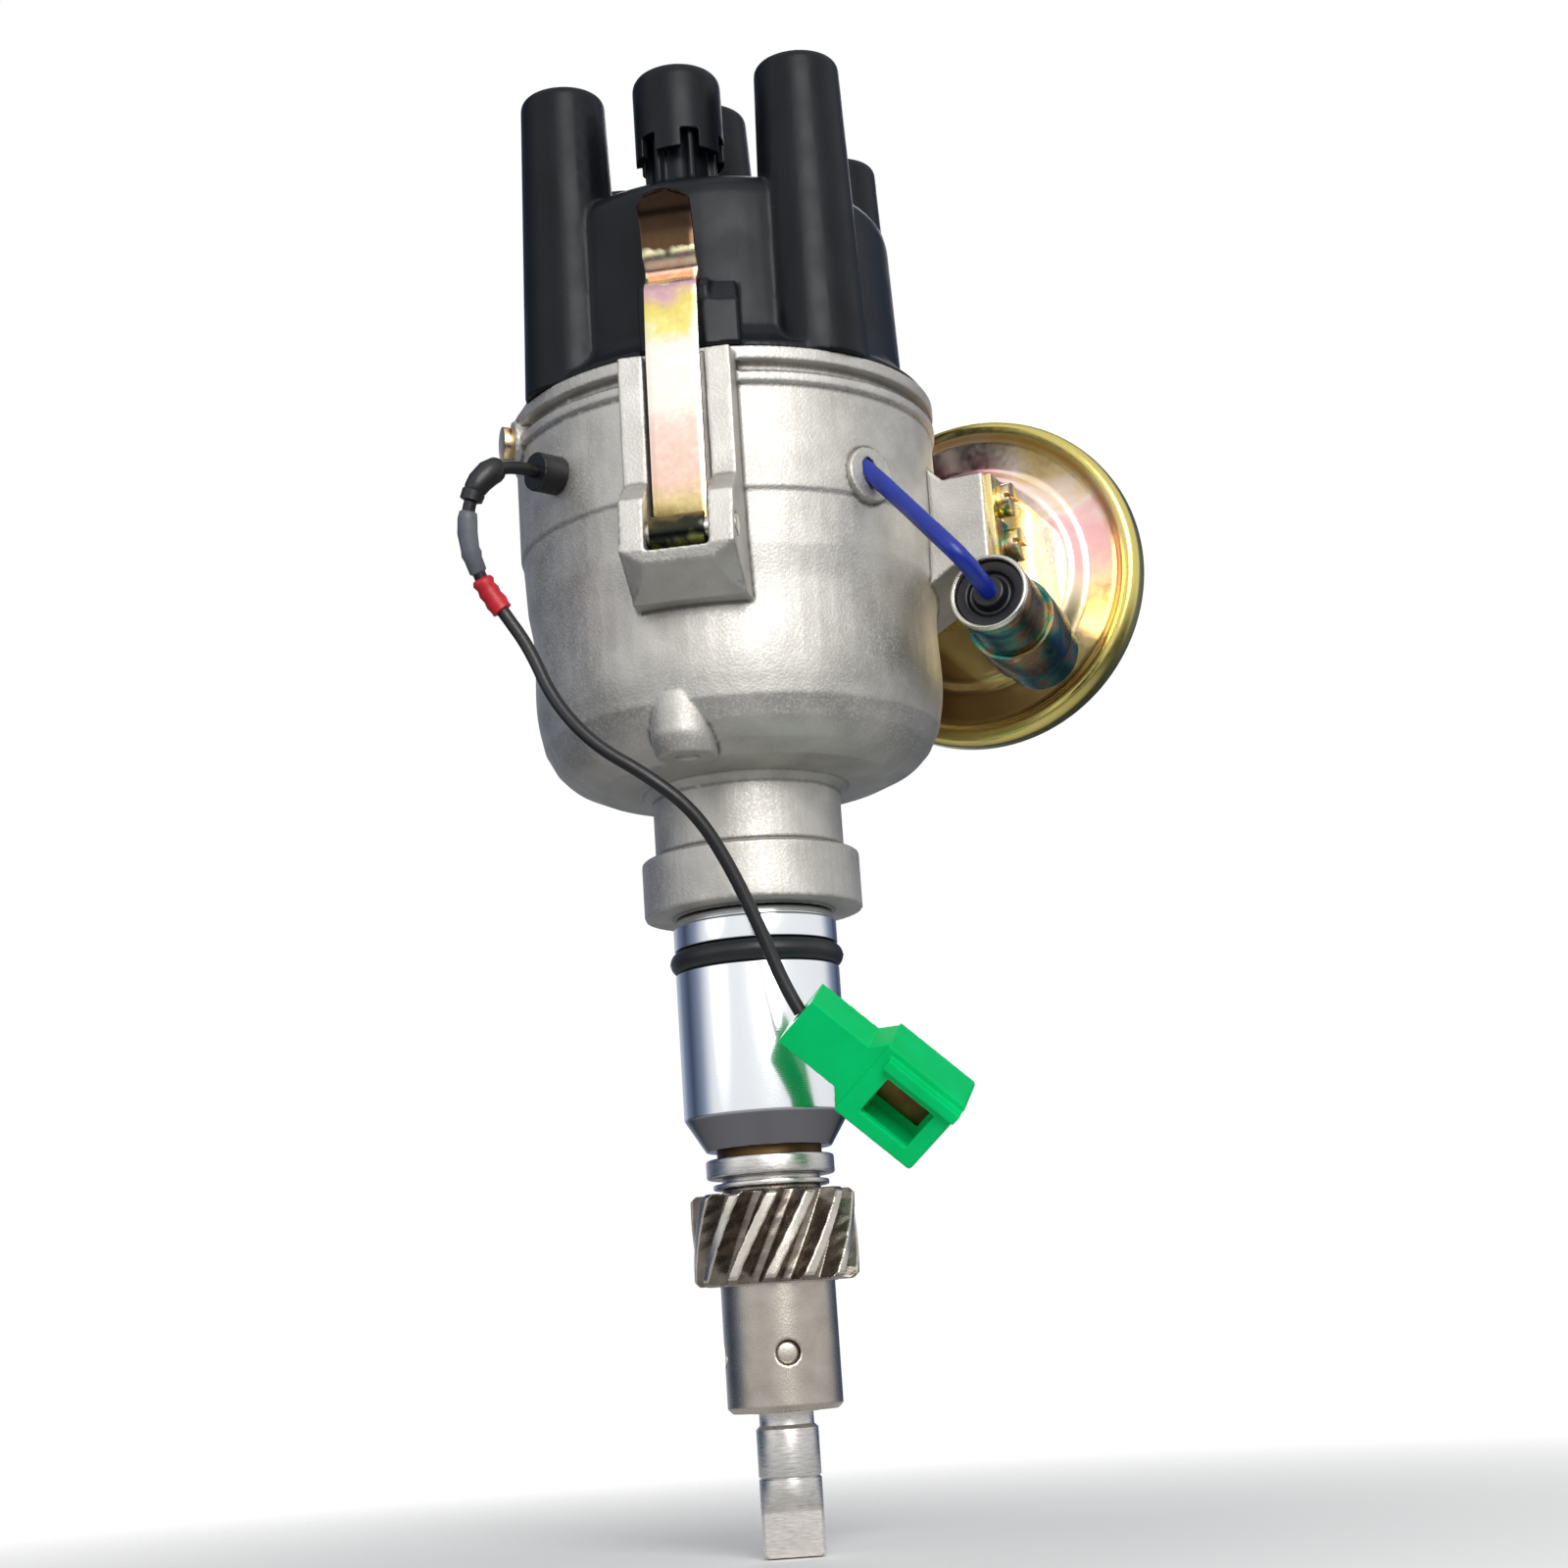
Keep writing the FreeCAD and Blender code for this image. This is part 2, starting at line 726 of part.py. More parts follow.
def lower_bush_foot():
    return NOSE_BOTTOM - BUSH_FLANGE_T


def lower_bush():
    sleeve = disc(BUSH_R, NOSE_BOTTOM, LOWER_BUSH_TOP)
    flange = disc(BUSH_FLANGE_R, lower_bush_foot(), NOSE_BOTTOM)
    return fuse(sleeve, flange).cut(disc(SHAFT_R + RUN_FIT, lower_bush_foot() - 1, LOWER_BUSH_TOP + 1))


def o_ring():
    centre_r = BARREL_R + ORING_PROUD - ORING_R
    share = 2 * pi / ORING_SIDES
    return revolve([(centre_r + ORING_R * cos(i * share), ORING_Z + ORING_R * sin(i * share)) for i in range(ORING_SIDES)])


def thick_washer_top():
    return lower_bush_foot() - END_PLAY


def thick_washer():
    top = thick_washer_top()
    washer = ring(WASHER_R, SHAFT_R + RUN_FIT, top - WASHER_T, top)
    return washer.makeChamfer(0.3, outer_edges(washer, WASHER_R))


def outer_edges(shape, r):
    return [e for e in shape.Edges if hasattr(e.Curve, "Radius") and abs(e.Curve.Radius - r) < 1e-6]


def spacer_top():
    return thick_washer_top() - WASHER_T


def spacer_washer():
    return ring(SPACER_R, SHAFT_R + RUN_FIT, spacer_top() - SPACER_T, spacer_top())


def thin_washer():
    top = spacer_top() - SPACER_T
    return ring(THIN_WASHER_R, SHAFT_R + RUN_FIT, top - THIN_WASHER_T, top)


def gear_seat():
    return spacer_top() - SPACER_T - THIN_WASHER_T


def shaft():
    body = revolve([
        (0, TANG_TIP),
        (TAIL_R - 0.5, TANG_TIP),
        (TAIL_R, TANG_TIP + 0.5),
        (TAIL_R, TAIL_LINE_Z - 0.3),
        (TAIL_R - 0.3, TAIL_LINE_Z),
        (TAIL_R, TAIL_LINE_Z + 0.3),
        (TAIL_R, HUB_BOTTOM - NECKED_H),
        (NECKED_R, HUB_BOTTOM - NECKED_H + 0.7),
        (NECKED_R, HUB_BOTTOM - 0.2),
        (SHAFT_R, HUB_BOTTOM - 0.2),
        (SHAFT_R, SHOULDER_Z),
        (SPINDLE_R, SHOULDER_Z),
        (SPINDLE_R, SPINDLE_TOP - 0.5),
        (SPINDLE_R - 0.5, SPINDLE_TOP),
        (0, SPINDLE_TOP),
    ])
    flat = tang_flat()
    other = flat.mirror(V(0, 0, 0), V(0, 1, 0))
    return cut(body, flat, other, pin_hole())


def tang_flat():
    """Milled flat of the tang, running out on a slope towards the round shaft."""
    half = TANG_T / 2
    side = [
        (-half, TANG_TIP - 1),
        (-half, TANG_TOP - TANG_RUNOUT),
        (-TAIL_R - 0.5, TANG_TOP),
        (-TAIL_R - 3, TANG_TOP),
        (-TAIL_R - 3, TANG_TIP - 1),
    ]
    return extrude([V(-10, y, z) for y, z in side], V(20, 0, 0))


def pin_way():
    return azimuth(PIN_AZ, 1.0)


def pin_hole():
    way = pin_way()
    middle = V(0, 0, PIN_Z)
    return rod(middle - way * (HUB_R + 2), middle + way * (HUB_R + 2), PIN_HOLE_R)


def gear_pin():
    way = pin_way()
    middle = V(0, 0, PIN_Z)
    reach = HUB_R - PIN_SUNK
    pin = rod(middle - way * reach, middle + way * reach, PIN_HOLE_R)
    return pin.makeChamfer(0.4, outer_edges(pin, PIN_HOLE_R))


def tooth_space():
    """One helical gap between teeth, in flat facets along the helix."""
    height = GEAR_TOP - GEAR_BOTTOM + 2
    pitch_angle = 360.0 / GEAR_TEETH
    land = degrees(TOOTH_LAND / GEAR_R) / 2
    foot = degrees(TOOTH_FOOT / GEAR_ROOT_R) / 2
    over = GEAR_R + 1.0
    rings = []
    for i in range(HELIX_STEPS + 1):
        z = GEAR_BOTTOM - 1 + height * i / HELIX_STEPS
        turn = 360.0 * z / GEAR_LEAD
        corners = []
        for angle, r in ((land, over), (foot, GEAR_ROOT_R), (pitch_angle - foot, GEAR_ROOT_R), (pitch_angle - land, over)):
            a = radians(turn + angle)
            corners.append(V(r * cos(a), r * sin(a), z))
        rings.append(corners)
    return stacked(rings, 4)


def drive_gear():
    """Right-hand helical gear in one piece with its hub."""
    blank = revolve([
        (0, HUB_BOTTOM),
        (HUB_R - HUB_CHAMFER, HUB_BOTTOM),
        (HUB_R, HUB_BOTTOM + HUB_CHAMFER),
        (HUB_R, GEAR_BOTTOM),
        (GEAR_R - GEAR_CHAMFER, GEAR_BOTTOM),
        (GEAR_R, GEAR_BOTTOM + GEAR_CHAMFER),
        (GEAR_R, GEAR_TOP - GEAR_CHAMFER),
        (GEAR_R - GEAR_CHAMFER, GEAR_TOP),
        (SPACER_R, GEAR_TOP),
        (SPACER_R, gear_seat()),
        (0, gear_seat()),
    ])
    space = tooth_space()
    spaces = [turned(space, 360.0 * i / GEAR_TEETH) for i in range(GEAR_TEETH)]
    blind = azimuth(BLIND_AZ, 1.0)
    middle = V(0, 0, PIN_Z)
    dimple = rod(middle + blind * (HUB_R - BLIND_DEPTH), middle + blind * (HUB_R + 2), PIN_HOLE_R)
    bore = disc(SHAFT_R, HUB_BOTTOM - 1, gear_seat() + 1)
    return blank.cut(spaces).cut([bore, pin_hole(), dimple])


# governor

def gov_top():
    return GOV_PLATE_Z + GOV_PLATE_T


def yoke_bottom():
    return SHOULDER_Z + 0.2


def governor_plate():
    plate = disc(GOV_PLATE_R, GOV_PLATE_Z, gov_top())
    hub = disc(GOV_HUB_R, FLOOR_Z + 0.4, gov_top())
    posts = []
    for side in (1, -1):
        posts.append(disc(POST_R, gov_top(), yoke_bottom() - 0.2, V(side * WEIGHT_PIVOT, 0, 0)))
        at = spring_point(SPRING_POST_R, SPRING_POST_ANGLE) * side
        posts.append(disc(SMALL_POST_R, gov_top(), spring_z() + 2.4, at))
    return fuse(plate, hub, *posts).cut(disc(SHAFT_R, FLOOR_Z, gov_top() + 1))


def spring_point(r, angle):
    return V(r * cos(radians(angle)), r * sin(radians(angle)), 0)


def spring_z():
    return yoke_bottom() + YOKE_T + 1.2


def governor_weight(side):
    """Bob-weight on its post, with the pin that turns the yoke."""
    z0 = gov_top() + 0.3
    z1 = z0 + WEIGHT_T
    r0 = WEIGHT_IN_R
    r1 = WEIGHT_OUT_R
    a = radians(-100)
    b = radians(-4)
    m = (a + b) / 2
    outline = Part.Wire([
        arc(V(r1 * cos(a), r1 * sin(a), z0), V(r1 * cos(m), r1 * sin(m), z0), V(r1 * cos(b), r1 * sin(b), z0)),
        line(V(r1 * cos(b), r1 * sin(b), z0), V(r0 * cos(b), r0 * sin(b), z0)),
        arc(V(r0 * cos(b), r0 * sin(b), z0), V(r0 * cos(m), r0 * sin(m), z0), V(r0 * cos(a), r0 * sin(a), z0)),
        line(V(r0 * cos(a), r0 * sin(a), z0), V(r1 * cos(a), r1 * sin(a), z0)),
    ])
    bob = Part.Face(outline).extrude(V(0, 0, z1 - z0))
    eye = disc(5.0, z0, z1, V(WEIGHT_PIVOT, 0, 0))
    at = V(WEIGHT_PIVOT - WEIGHT_ARM, 0, 0)
    tongue = block(at.x - 2.2, WEIGHT_PIVOT, -2.2, 2.2, z0, z1)
    pin = disc(DRIVE_PIN_R, z1 - 1, yoke_bottom() + YOKE_T + 0.3, at)
    hole = disc(POST_R + RUN_FIT, z0 - 1, z1 + 1, V(WEIGHT_PIVOT, 0, 0))
    weight = fuse(bob, eye, tongue, pin).cut(hole)
    return weight if side > 0 else turned(weight, 180)


def cam_lobes():
    """Square cam with rounded peaks: a cylinder trimmed by four flats."""
    body = disc(CAM_MAX_R, CAM_LOBE_BOTTOM, CAM_LOBE_TOP)
    trims = []
    for i in range(4):
        trim = block(CAM_FLAT, 20, -20, 20, CAM_LOBE_BOTTOM - 1, CAM_LOBE_TOP + 1)
        trims.append(turned(trim, cam_peak_angle() + 45 + 90 * i))
    return body.cut(trims)


def cam_peak_angle():
    return -90.0 + POINTS_TURN


def cam():
    z0 = yoke_bottom()
    yoke = disc(YOKE_R, z0, z0 + YOKE_T)
    sleeve = disc(CAM_SLEEVE_R, z0, CAM_TOP)
    parts = [sleeve, cam_lobes()]
    slots = []
    at = WEIGHT_PIVOT - WEIGHT_ARM
    half = DRIVE_PIN_R + 0.2
    for side in (1, -1):
        ear = spring_point(YOKE_EAR_R, YOKE_EAR_ANGLE) * side
        parts.append(ear_arm(ear, z0))
        parts.append(disc(SMALL_POST_R, z0, spring_z() + 2.4, ear))
        reach = block(at - half - 0.1, at + half + 0.5, -half, half, z0 - 1, z0 + YOKE_T + 0.6)
        slots.append(turned(reach, 0 if side > 0 else 180))
    bore = disc(CAM_BORE_R, z0 - 1, CAM_TOP + 1)
    return fuse(yoke, *parts).cut(slots + [bore])


def ear_arm(ear, z0):
    way = V(ear.x, ear.y, 0).normalize()
    side = V(-way.y, way.x, 0) * 2.4
    base = way * 8.0
    tip = V(ear.x, ear.y, 0)
    arm = extrude([p + V(0, 0, z0) for p in (base - side, base + side, tip + side, tip - side)], V(0, 0, YOKE_T))
    return fuse(arm, disc(2.4, z0, z0 + YOKE_T, ear))


def governor_spring(side):
    """Small tension spring with straight hooks, between two posts."""
    a = spring_point(SPRING_POST_R, SPRING_POST_ANGLE) * side
    b = spring_point(YOKE_EAR_R, YOKE_EAR_ANGLE) * side
    z = spring_z() + 1.2
    a = V(a.x, a.y, z)
    b = V(b.x, b.y, z)
    way = b.sub(a).normalize()
    clear = SMALL_POST_R + SPRING_WIRE_R + 0.1
    start = a + way * clear
    end = b - way * clear
    length = end.sub(start).Length
    return coil(SPRING_COIL_R - SPRING_WIRE_R, SPRING_WIRE_R, length, 6, start, end)


def oil_felt():
    return disc(CAM_BORE_R, SPINDLE_TOP + 0.2, CAM_TOP)


def rotor():
    """Moulded rotor: socket over the cam's top and an arm towards one tower."""
    hub = disc(ROTOR_HUB_R, ROTOR_BOTTOM, ROTOR_HUB_TOP + ROTOR_ARM_T)
    arm = block(-ROTOR_ARM_W / 2, ROTOR_ARM_W / 2, -ROTOR_ARM_R, 0, ROTOR_HUB_TOP, ROTOR_HUB_TOP + ROTOR_ARM_T)
    web = extrude([
        V(-1.5, -ROTOR_HUB_R + 1, ROTOR_BOTTOM + 4),
        V(-1.5, -ROTOR_ARM_R + 2, ROTOR_HUB_TOP),
        V(-1.5, -ROTOR_HUB_R + 1, ROTOR_HUB_TOP),
    ], V(3.0, 0, 0))
    round_end = disc(ROTOR_ARM_R, ROTOR_BOTTOM, ROTOR_HUB_TOP + ROTOR_ARM_T)
    body = fuse(hub, arm.common(round_end), web)
    socket = disc(CAM_SLEEVE_R, ROTOR_BOTTOM - 1, CAM_TOP)
    return turned(body.cut(socket), ROTOR_AZ)


def rotor_blade():
    z0 = ROTOR_HUB_TOP + ROTOR_ARM_T
    strip = block(-BLADE_W / 2, BLADE_W / 2, -BLADE_R - 2, 5.0, z0, z0 + BLADE_T)
    strip = strip.common(disc(BLADE_R, z0 - 1, z0 + BLADE_T + 1))
    return turned(strip, ROTOR_AZ)


# breaker stage

def breaker_z():
    return LEDGE_Z + PLATE_T + 0.3


def breaker_top():
    return breaker_z() + PLATE_T


def fixed_plate():
    plate = ring(FIXED_PLATE_R, FIXED_HOLE_R, LEDGE_Z, LEDGE_Z + PLATE_T)
    return plate.cut([disc(SCREW_R, LEDGE_Z - 1, LEDGE_Z + 3, azimuth(az, LUG_R)) for az in LUG_AZ])


def plate_screws():
    made = []
    for az in LUG_AZ:
        at = azimuth(az, LUG_R)
        shank = disc(SCREW_R, LEDGE_Z - 6, LEDGE_Z + PLATE_T, at)
        head = disc(SCREW_HEAD_R, LEDGE_Z + PLATE_T, LEDGE_Z + PLATE_T + SCREW_HEAD_H, at)
        slot = block(-3, 3, -0.35, 0.35, LEDGE_Z + PLATE_T + 1.0, LEDGE_Z + 5)
        slot.translate(at)
        made.append(fuse(shank, head).cut(slot))
    return solids(*made)


def plate_hub_r():
    return FIXED_HOLE_R - RUN_FIT


def points_frame(shape):
    return turned(shape, POINTS_TURN)


def breaker_plate():
    """Swivelling plate with its centre hub, the vacuum pin's ear and the lever's post."""
    plate = disc(BREAKER_PLATE_R, breaker_z(), breaker_top())
    hub = disc(plate_hub_r(), LEDGE_Z - SNAP_RING_T - 0.9, breaker_z())
    notch = ring(plate_hub_r() + 1, plate_hub_r() - 0.8, LEDGE_Z - SNAP_RING_T - 0.3, LEDGE_Z - 0.2)
    pin_at = can_point(PLATE_PIN_D, 0, 0)
    ear = disc(3.4, breaker_z(), breaker_top(), pin_at)
    pin = disc(PLATE_PIN_R, breaker_top(), breaker_top() + 2.8, pin_at)
    post = points_frame(disc(PIVOT_R, breaker_top(), LEVER_BOTTOM + LEVER_H + 1.5, V(PIVOT_X, LEVER_Y, 0)))
    screw = points_frame(disc(SCREW_R, breaker_z() - 1, breaker_top() + 1, contact_screw_at()))
    bore = disc(PLATE_HUB_IN_R, LEDGE_Z - 5, breaker_top() + 1)
    return fuse(plate, hub.cut(notch), ear, pin, post).cut([bore, screw])


def snap_ring():
    """Open ring in the hub's groove, which holds the plate down."""
    inner = plate_hub_r() - 0.8
    z1 = LEDGE_Z - 0.25
    whole = ring(plate_hub_r() + SNAP_RING_W, inner, z1 - SNAP_RING_T + 0.1, z1)
    return whole.cut(block(-2, 2, -20, 0, z1 - 2, z1 + 1))


def contact_screw_at():
    return V(7.5, -20.5, 0)


def contact_face_y():
    return LEVER_Y + CONTACT_T + CONTACT_GAP


def fixed_contact():
    """Adjustable bracket on the breaker plate with the earthed contact."""
    z0 = breaker_top()
    foot = block(3.5, CONTACT_X + 3.5, -24.0, contact_face_y() + CONTACT_T + 1.2, z0, z0 + 1.2)
    foot = foot.cut(disc(CAM_MAX_R + 0.8, z0 - 1, z0 + 3))
    y0 = contact_face_y() + CONTACT_T
    wall = block(CONTACT_X - 2.6, CONTACT_X + 2.6, y0, y0 + 1.2, z0, LEVER_BOTTOM + LEVER_H)
    mid = LEVER_BOTTOM + LEVER_H / 2
    contact = rod(V(CONTACT_X, contact_face_y(), mid), V(CONTACT_X, y0 + 0.4, mid), CONTACT_R)
    hole = disc(SCREW_R, z0 - 1, z0 + 3, contact_screw_at())
    return points_frame(fuse(foot, wall, contact).cut(hole))


def contact_screw():
    at = contact_screw_at()
    z0 = breaker_top() + 1.2
    shank = disc(SCREW_R, breaker_z() + 0.1, z0, at)
    head = disc(SCREW_HEAD_R, z0, z0 + SCREW_HEAD_H, at)
    return points_frame(fuse(shank, head))


def lever_z():
    return LEVER_BOTTOM, LEVER_BOTTOM + LEVER_H


def breaker_lever():
    """Steel lever with the moving contact."""
    z0, z1 = lever_z()
    strip = block(PIVOT_X, CONTACT_X + 2.4, LEVER_Y - LEVER_T, LEVER_Y, z0, z1)
    barrel = disc(PIVOT_BUSH_R + 0.8, z0, z1, V(PIVOT_X, LEVER_Y, 0))
    mid = LEVER_BOTTOM + LEVER_H / 2
    contact = rod(V(CONTACT_X, LEVER_Y - 0.4, mid), V(CONTACT_X, LEVER_Y + CONTACT_T, mid), CONTACT_R)
    hole = disc(PIVOT_BUSH_R, z0 - 1, z1 + 1, V(PIVOT_X, LEVER_Y, 0))
    return points_frame(fuse(strip, barrel, contact).cut(hole))


def lever_bush():
    z0, z1 = lever_z()
    return points_frame(ring(PIVOT_BUSH_R, PIVOT_R + RUN_FIT, z0 - 1.0, z1, V(PIVOT_X, LEVER_Y, 0)))


def rubbing_block():
    """Fibre block between the lever and the cam."""
    z0, z1 = lever_z()
    tip = -(CAM_MAX_R + CAM_CLEARANCE)
    half = BLOCK_W / 2
    outline = [V(-half, LEVER_Y, z0), V(-1.2, tip, z0), V(1.2, tip, z0), V(half, LEVER_Y, z0)]
    return points_frame(extrude(outline, V(0, 0, z1 - z0)))


def spring_block_at():
    return V(-13.5, -22.6, 0)


def terminal_block():
    at = spring_block_at()
    z0 = breaker_top()
    return points_frame(block(at.x - 2.4, at.x + 2.4, at.y - 2.2, at.y + 2.2, z0, LEVER_BOTTOM + LEVER_H))


def breaker_spring():
    """Leaf spring from the terminal block to the back of the lever."""
    z0, z1 = lever_z()
    z0 += 1.5
    z1 -= 1.5
    t = 0.4
    end = spring_block_at()
    a = V(end.x + 2.4, end.y, z0)
    c = V(4.0, LEVER_Y - LEVER_T - 0.05, z0)
    m = V(-3.2, -21.4, z0)
    outer = arc(a, m, c)
    inner = arc(V(a.x, a.y + t, z0), V(m.x - 0.15, m.y + t, z0), V(c.x - 0.6, c.y, z0))
    face = Part.Face(Part.Wire([outer, line(c, V(c.x - 0.6, c.y, z0)), inner, line(V(a.x, a.y + t, z0), a)]))
    return points_frame(face.extrude(V(0, 0, z1 - z0)))


# vacuum unit

def can_front_shell():
    s = CAN_SHEET
    rim_in = CAN_R - CAN_RIM_W
    step = CAN_STEP_H
    back = CAN_BODY_H
    shell = revolve([
        (4.0, 0),
        (CAN_STEP_R, 0),
        (CAN_STEP_R + 2.4, step),
        (rim_in - 1.4, step),
        (rim_in, step - 1.0),
        (CAN_R - 1.2, step - 1.0),
        (CAN_R, step + 0.4),
        (CAN_R, back + s),
        (CAN_R - 1.0, back + 2.2 * s),
        (rim_in + 0.4, back + 2.2 * s),
        (rim_in + 0.4, back + 1.2 * s),
        (CAN_R - s, back + s),
        (CAN_R - s, step + s),
        (CAN_STEP_R + 1.9, step + s),
        (CAN_STEP_R - 0.5, s),
        (4.0, s),
    ])
    return can_frame(shell)


def diaphragm_z():
    return CAN_BODY_H - 1.0 - DIAPHRAGM_T


def can_rear_shell():
    s = CAN_SHEET
    z0 = diaphragm_z() + DIAPHRAGM_T
    rim = CAN_R - s - 0.05
    dome = z0 + CAN_DOME_H
    tip = dome + NIPPLE_L
    shell = revolve([
        (NIPPLE_BORE_R, tip),
        (NIPPLE_R, tip),
        (BARB_R, tip - 2.5),
        (NIPPLE_R, tip - 3.2),
        (NIPPLE_R, dome + 1.0),
        (NIPPLE_R + 1.2, dome),
        (18.0, dome),
        (26.0, dome - 4.0),
        (28.5, z0 + s),
        (rim, z0 + s),
        (rim, z0),
        (27.4, z0),
        (25.2, dome - 4.7),
        (17.6, dome - s),
        (NIPPLE_BORE_R, dome - s),
    ])
    return can_frame(shell)


def diaphragm():
    z0 = diaphragm_z()
    r = CAN_R - CAN_SHEET - 0.05
    return can_frame(ring(r, CUP_R - 4.0, z0, z0 + DIAPHRAGM_T))


def diaphragm_cup():
    """Two pressed cups riveted on the rod's end, which clamp the diaphragm's centre."""
    z0 = diaphragm_z()
    front = disc(CUP_R, z0 - 0.8, z0)
    back = disc(CUP_R, z0 + DIAPHRAGM_T, z0 + DIAPHRAGM_T + 0.8)
    core = disc(CUP_R - 4.05, z0 - 0.5, z0 + DIAPHRAGM_T + 0.5)
    return can_frame(fuse(front, back, core)).cut(vacuum_rod())


def diaphragm_spring():
    z0 = diaphragm_z() + DIAPHRAGM_T + 0.8 + 0.7
    z1 = diaphragm_z() + DIAPHRAGM_T + CAN_DOME_H - CAN_SHEET - 0.8
    spring = coil(9.0, 0.6, z1 - z0, 3, V(0, 0, z0), V(0, 0, z1))
    return can_frame(spring)


def rod_z():
    return breaker_top() + ROD_EYE_T / 2 + 0.3


def vacuum_rod():
    """Wire rod from the diaphragm, joggled to the breaker plate's pin, with a flattened eye."""
    back = CAN_C + diaphragm_z() + DIAPHRAGM_T + 1.2
    z = rod_z()
    points = [
        can_point(CAN_D, back, CAN_Z),
        can_point(CAN_D, 30.0, CAN_Z),
        can_point(PLATE_PIN_D, 20.0, z),
        can_point(PLATE_PIN_D, ROD_EYE_R - 0.8, z),
    ]
    wire = tube([(p.x, p.y, p.z) for p in points], ROD_R, "vacuum rod")
    at = can_point(PLATE_PIN_D, 0, 0)
    eye = disc(ROD_EYE_R, z - ROD_EYE_T / 2, z + ROD_EYE_T / 2, at)
    flat = can_block(PLATE_PIN_D - ROD_R, PLATE_PIN_D + ROD_R, 1.0, ROD_EYE_R + 3.0, z - ROD_EYE_T / 2, z + ROD_EYE_T / 2)
    trim = can_block(PLATE_PIN_D - 6, PLATE_PIN_D + 6, -6, 14.0, z - 6, z - ROD_EYE_T / 2)
    hole = disc(PLATE_PIN_R + EYE_SLACK, z - 4, z + 4, at)
    return fuse(wire, eye, flat).cut([trim, hole])


def vacuum_bracket():
    """Angle bracket: one leg on the arm's end face, the other on the can's front."""
    d1 = ARM_END_D + BRACKET_T
    z0, z1 = BRACKET_Z
    leg = can_block(ARM_END_D, d1, ARM_C[0] + 0.5, CAN_C, z0, z1)
    foot = can_block(CAN_D - 14.0, d1, CAN_C - BRACKET_T, CAN_C, z0, z1)
    hole = rod(can_point(CAN_D, CAN_C - 5, CAN_Z), can_point(CAN_D, CAN_C + 5, CAN_Z), 4.0)
    gusset = extrude([
        can_point(d1 - 0.2, CAN_C - 9.0, CAN_Z - 1),
        can_point(ARM_END_D - 9.0, CAN_C - 0.2, CAN_Z - 1),
        can_point(d1 - 0.2, CAN_C - 0.2, CAN_Z - 1),
    ], V(0, 0, 2.0))
    holes = []
    for z in BRACKET_SCREW_Z:
        holes.append(rod(can_point(ARM_END_D - 1, BRACKET_SCREW_C, z), can_point(d1 + 1, BRACKET_SCREW_C, z), SCREW_R))
    return fuse(leg, foot, gusset).cut([hole] + holes)


def bracket_screws():
    """Upper screw seats on the bracket, the lower one on the condenser's strap."""
    made = []
    face = ARM_END_D + BRACKET_T
    for z, seat in ((BRACKET_SCREW_Z[0], face + STRAP_T), (BRACKET_SCREW_Z[1], face)):
        inner = can_point(ARM_END_D - 7, BRACKET_SCREW_C, z)
        shank = rod(inner, can_point(seat, BRACKET_SCREW_C, z), SCREW_R)
        head = rod(can_point(seat, BRACKET_SCREW_C, z), can_point(seat + BRACKET_HEAD_H, BRACKET_SCREW_C, z), BRACKET_HEAD_R)
        slot = can_block(seat + BRACKET_HEAD_H - 0.9, seat + BRACKET_HEAD_H + 1, BRACKET_SCREW_C - 4, BRACKET_SCREW_C + 4, z - 0.4, z + 0.4)
        made.append(fuse(shank, head).cut(slot))
    return solids(*made)


# condenser

def cond_way():
    return V(COND_AXIS).normalize()


def cond_front():
    return can_point(ARM_END_D + COND_OUT, -COND_AHEAD, COND_Z)


def condenser_point(back):
    return cond_front() + cond_way() * back


def condenser_can():
    """Drawn can with a rolled mouth, open at the front."""
    s = COND_SHEET
    can = revolve([
        (0, COND_L),
        (COND_R - 1.5, COND_L),
        (COND_R, COND_L - 1.5),
        (COND_R, 2.6),
        (COND_R - 0.4, 2.1),
        (COND_R + 0.15, 1.4),
        (COND_R + 0.15, 0.5),
        (COND_R - 0.3, 0),
        (COND_R - s - 0.4, 0),
        (COND_R - s - 0.2, COND_SEAL_SUNK + 3.0),
        (0, COND_SEAL_SUNK + 3.0),
    ])
    return placed(can, cond_front(), condenser_point(1))


def condenser_seal():
    """Black end seal, stepped towards the lead's nub."""
    s = COND_SHEET
    z1 = COND_SEAL_SUNK + 3.0
    r = COND_R - s - 0.4
    seal = revolve([
        (0, z1),
        (r, z1),
        (r, COND_SEAL_SUNK),
        (4.4, COND_SEAL_SUNK),
        (4.0, COND_SEAL_SUNK + 0.7),
        (3.2, COND_SEAL_SUNK + 0.7),
        (2.9, COND_SEAL_SUNK - 1.2),
        (0, COND_SEAL_SUNK - 1.2),
    ])
    return placed(seal, cond_front(), condenser_point(1)).cut(condenser_lead())


def condenser_strap():
    """Clamping band with a tab under the bracket's lower screw."""
    band = ring(COND_R + STRAP_T, COND_R, 0, STRAP_W)
    band = placed(band, condenser_point(STRAP_BACK), condenser_point(STRAP_BACK + 1))
    face = ARM_END_D + BRACKET_T
    z1 = BRACKET_SCREW_Z[0] + 4.0
    z0 = condenser_point(STRAP_BACK + STRAP_W / 2).z + 7.0
    c = BRACKET_SCREW_C
    tab = can_block(face, face + STRAP_T, c - 5.0, c + 5.0, z0, z1)
    body = rod(cond_front(), condenser_point(COND_L), COND_R)
    hole = rod(can_point(face - 1, c, BRACKET_SCREW_Z[0]), can_point(face + 3, c, BRACKET_SCREW_Z[0]), SCREW_R)
    return fuse(band, tab).cut([hole, body])


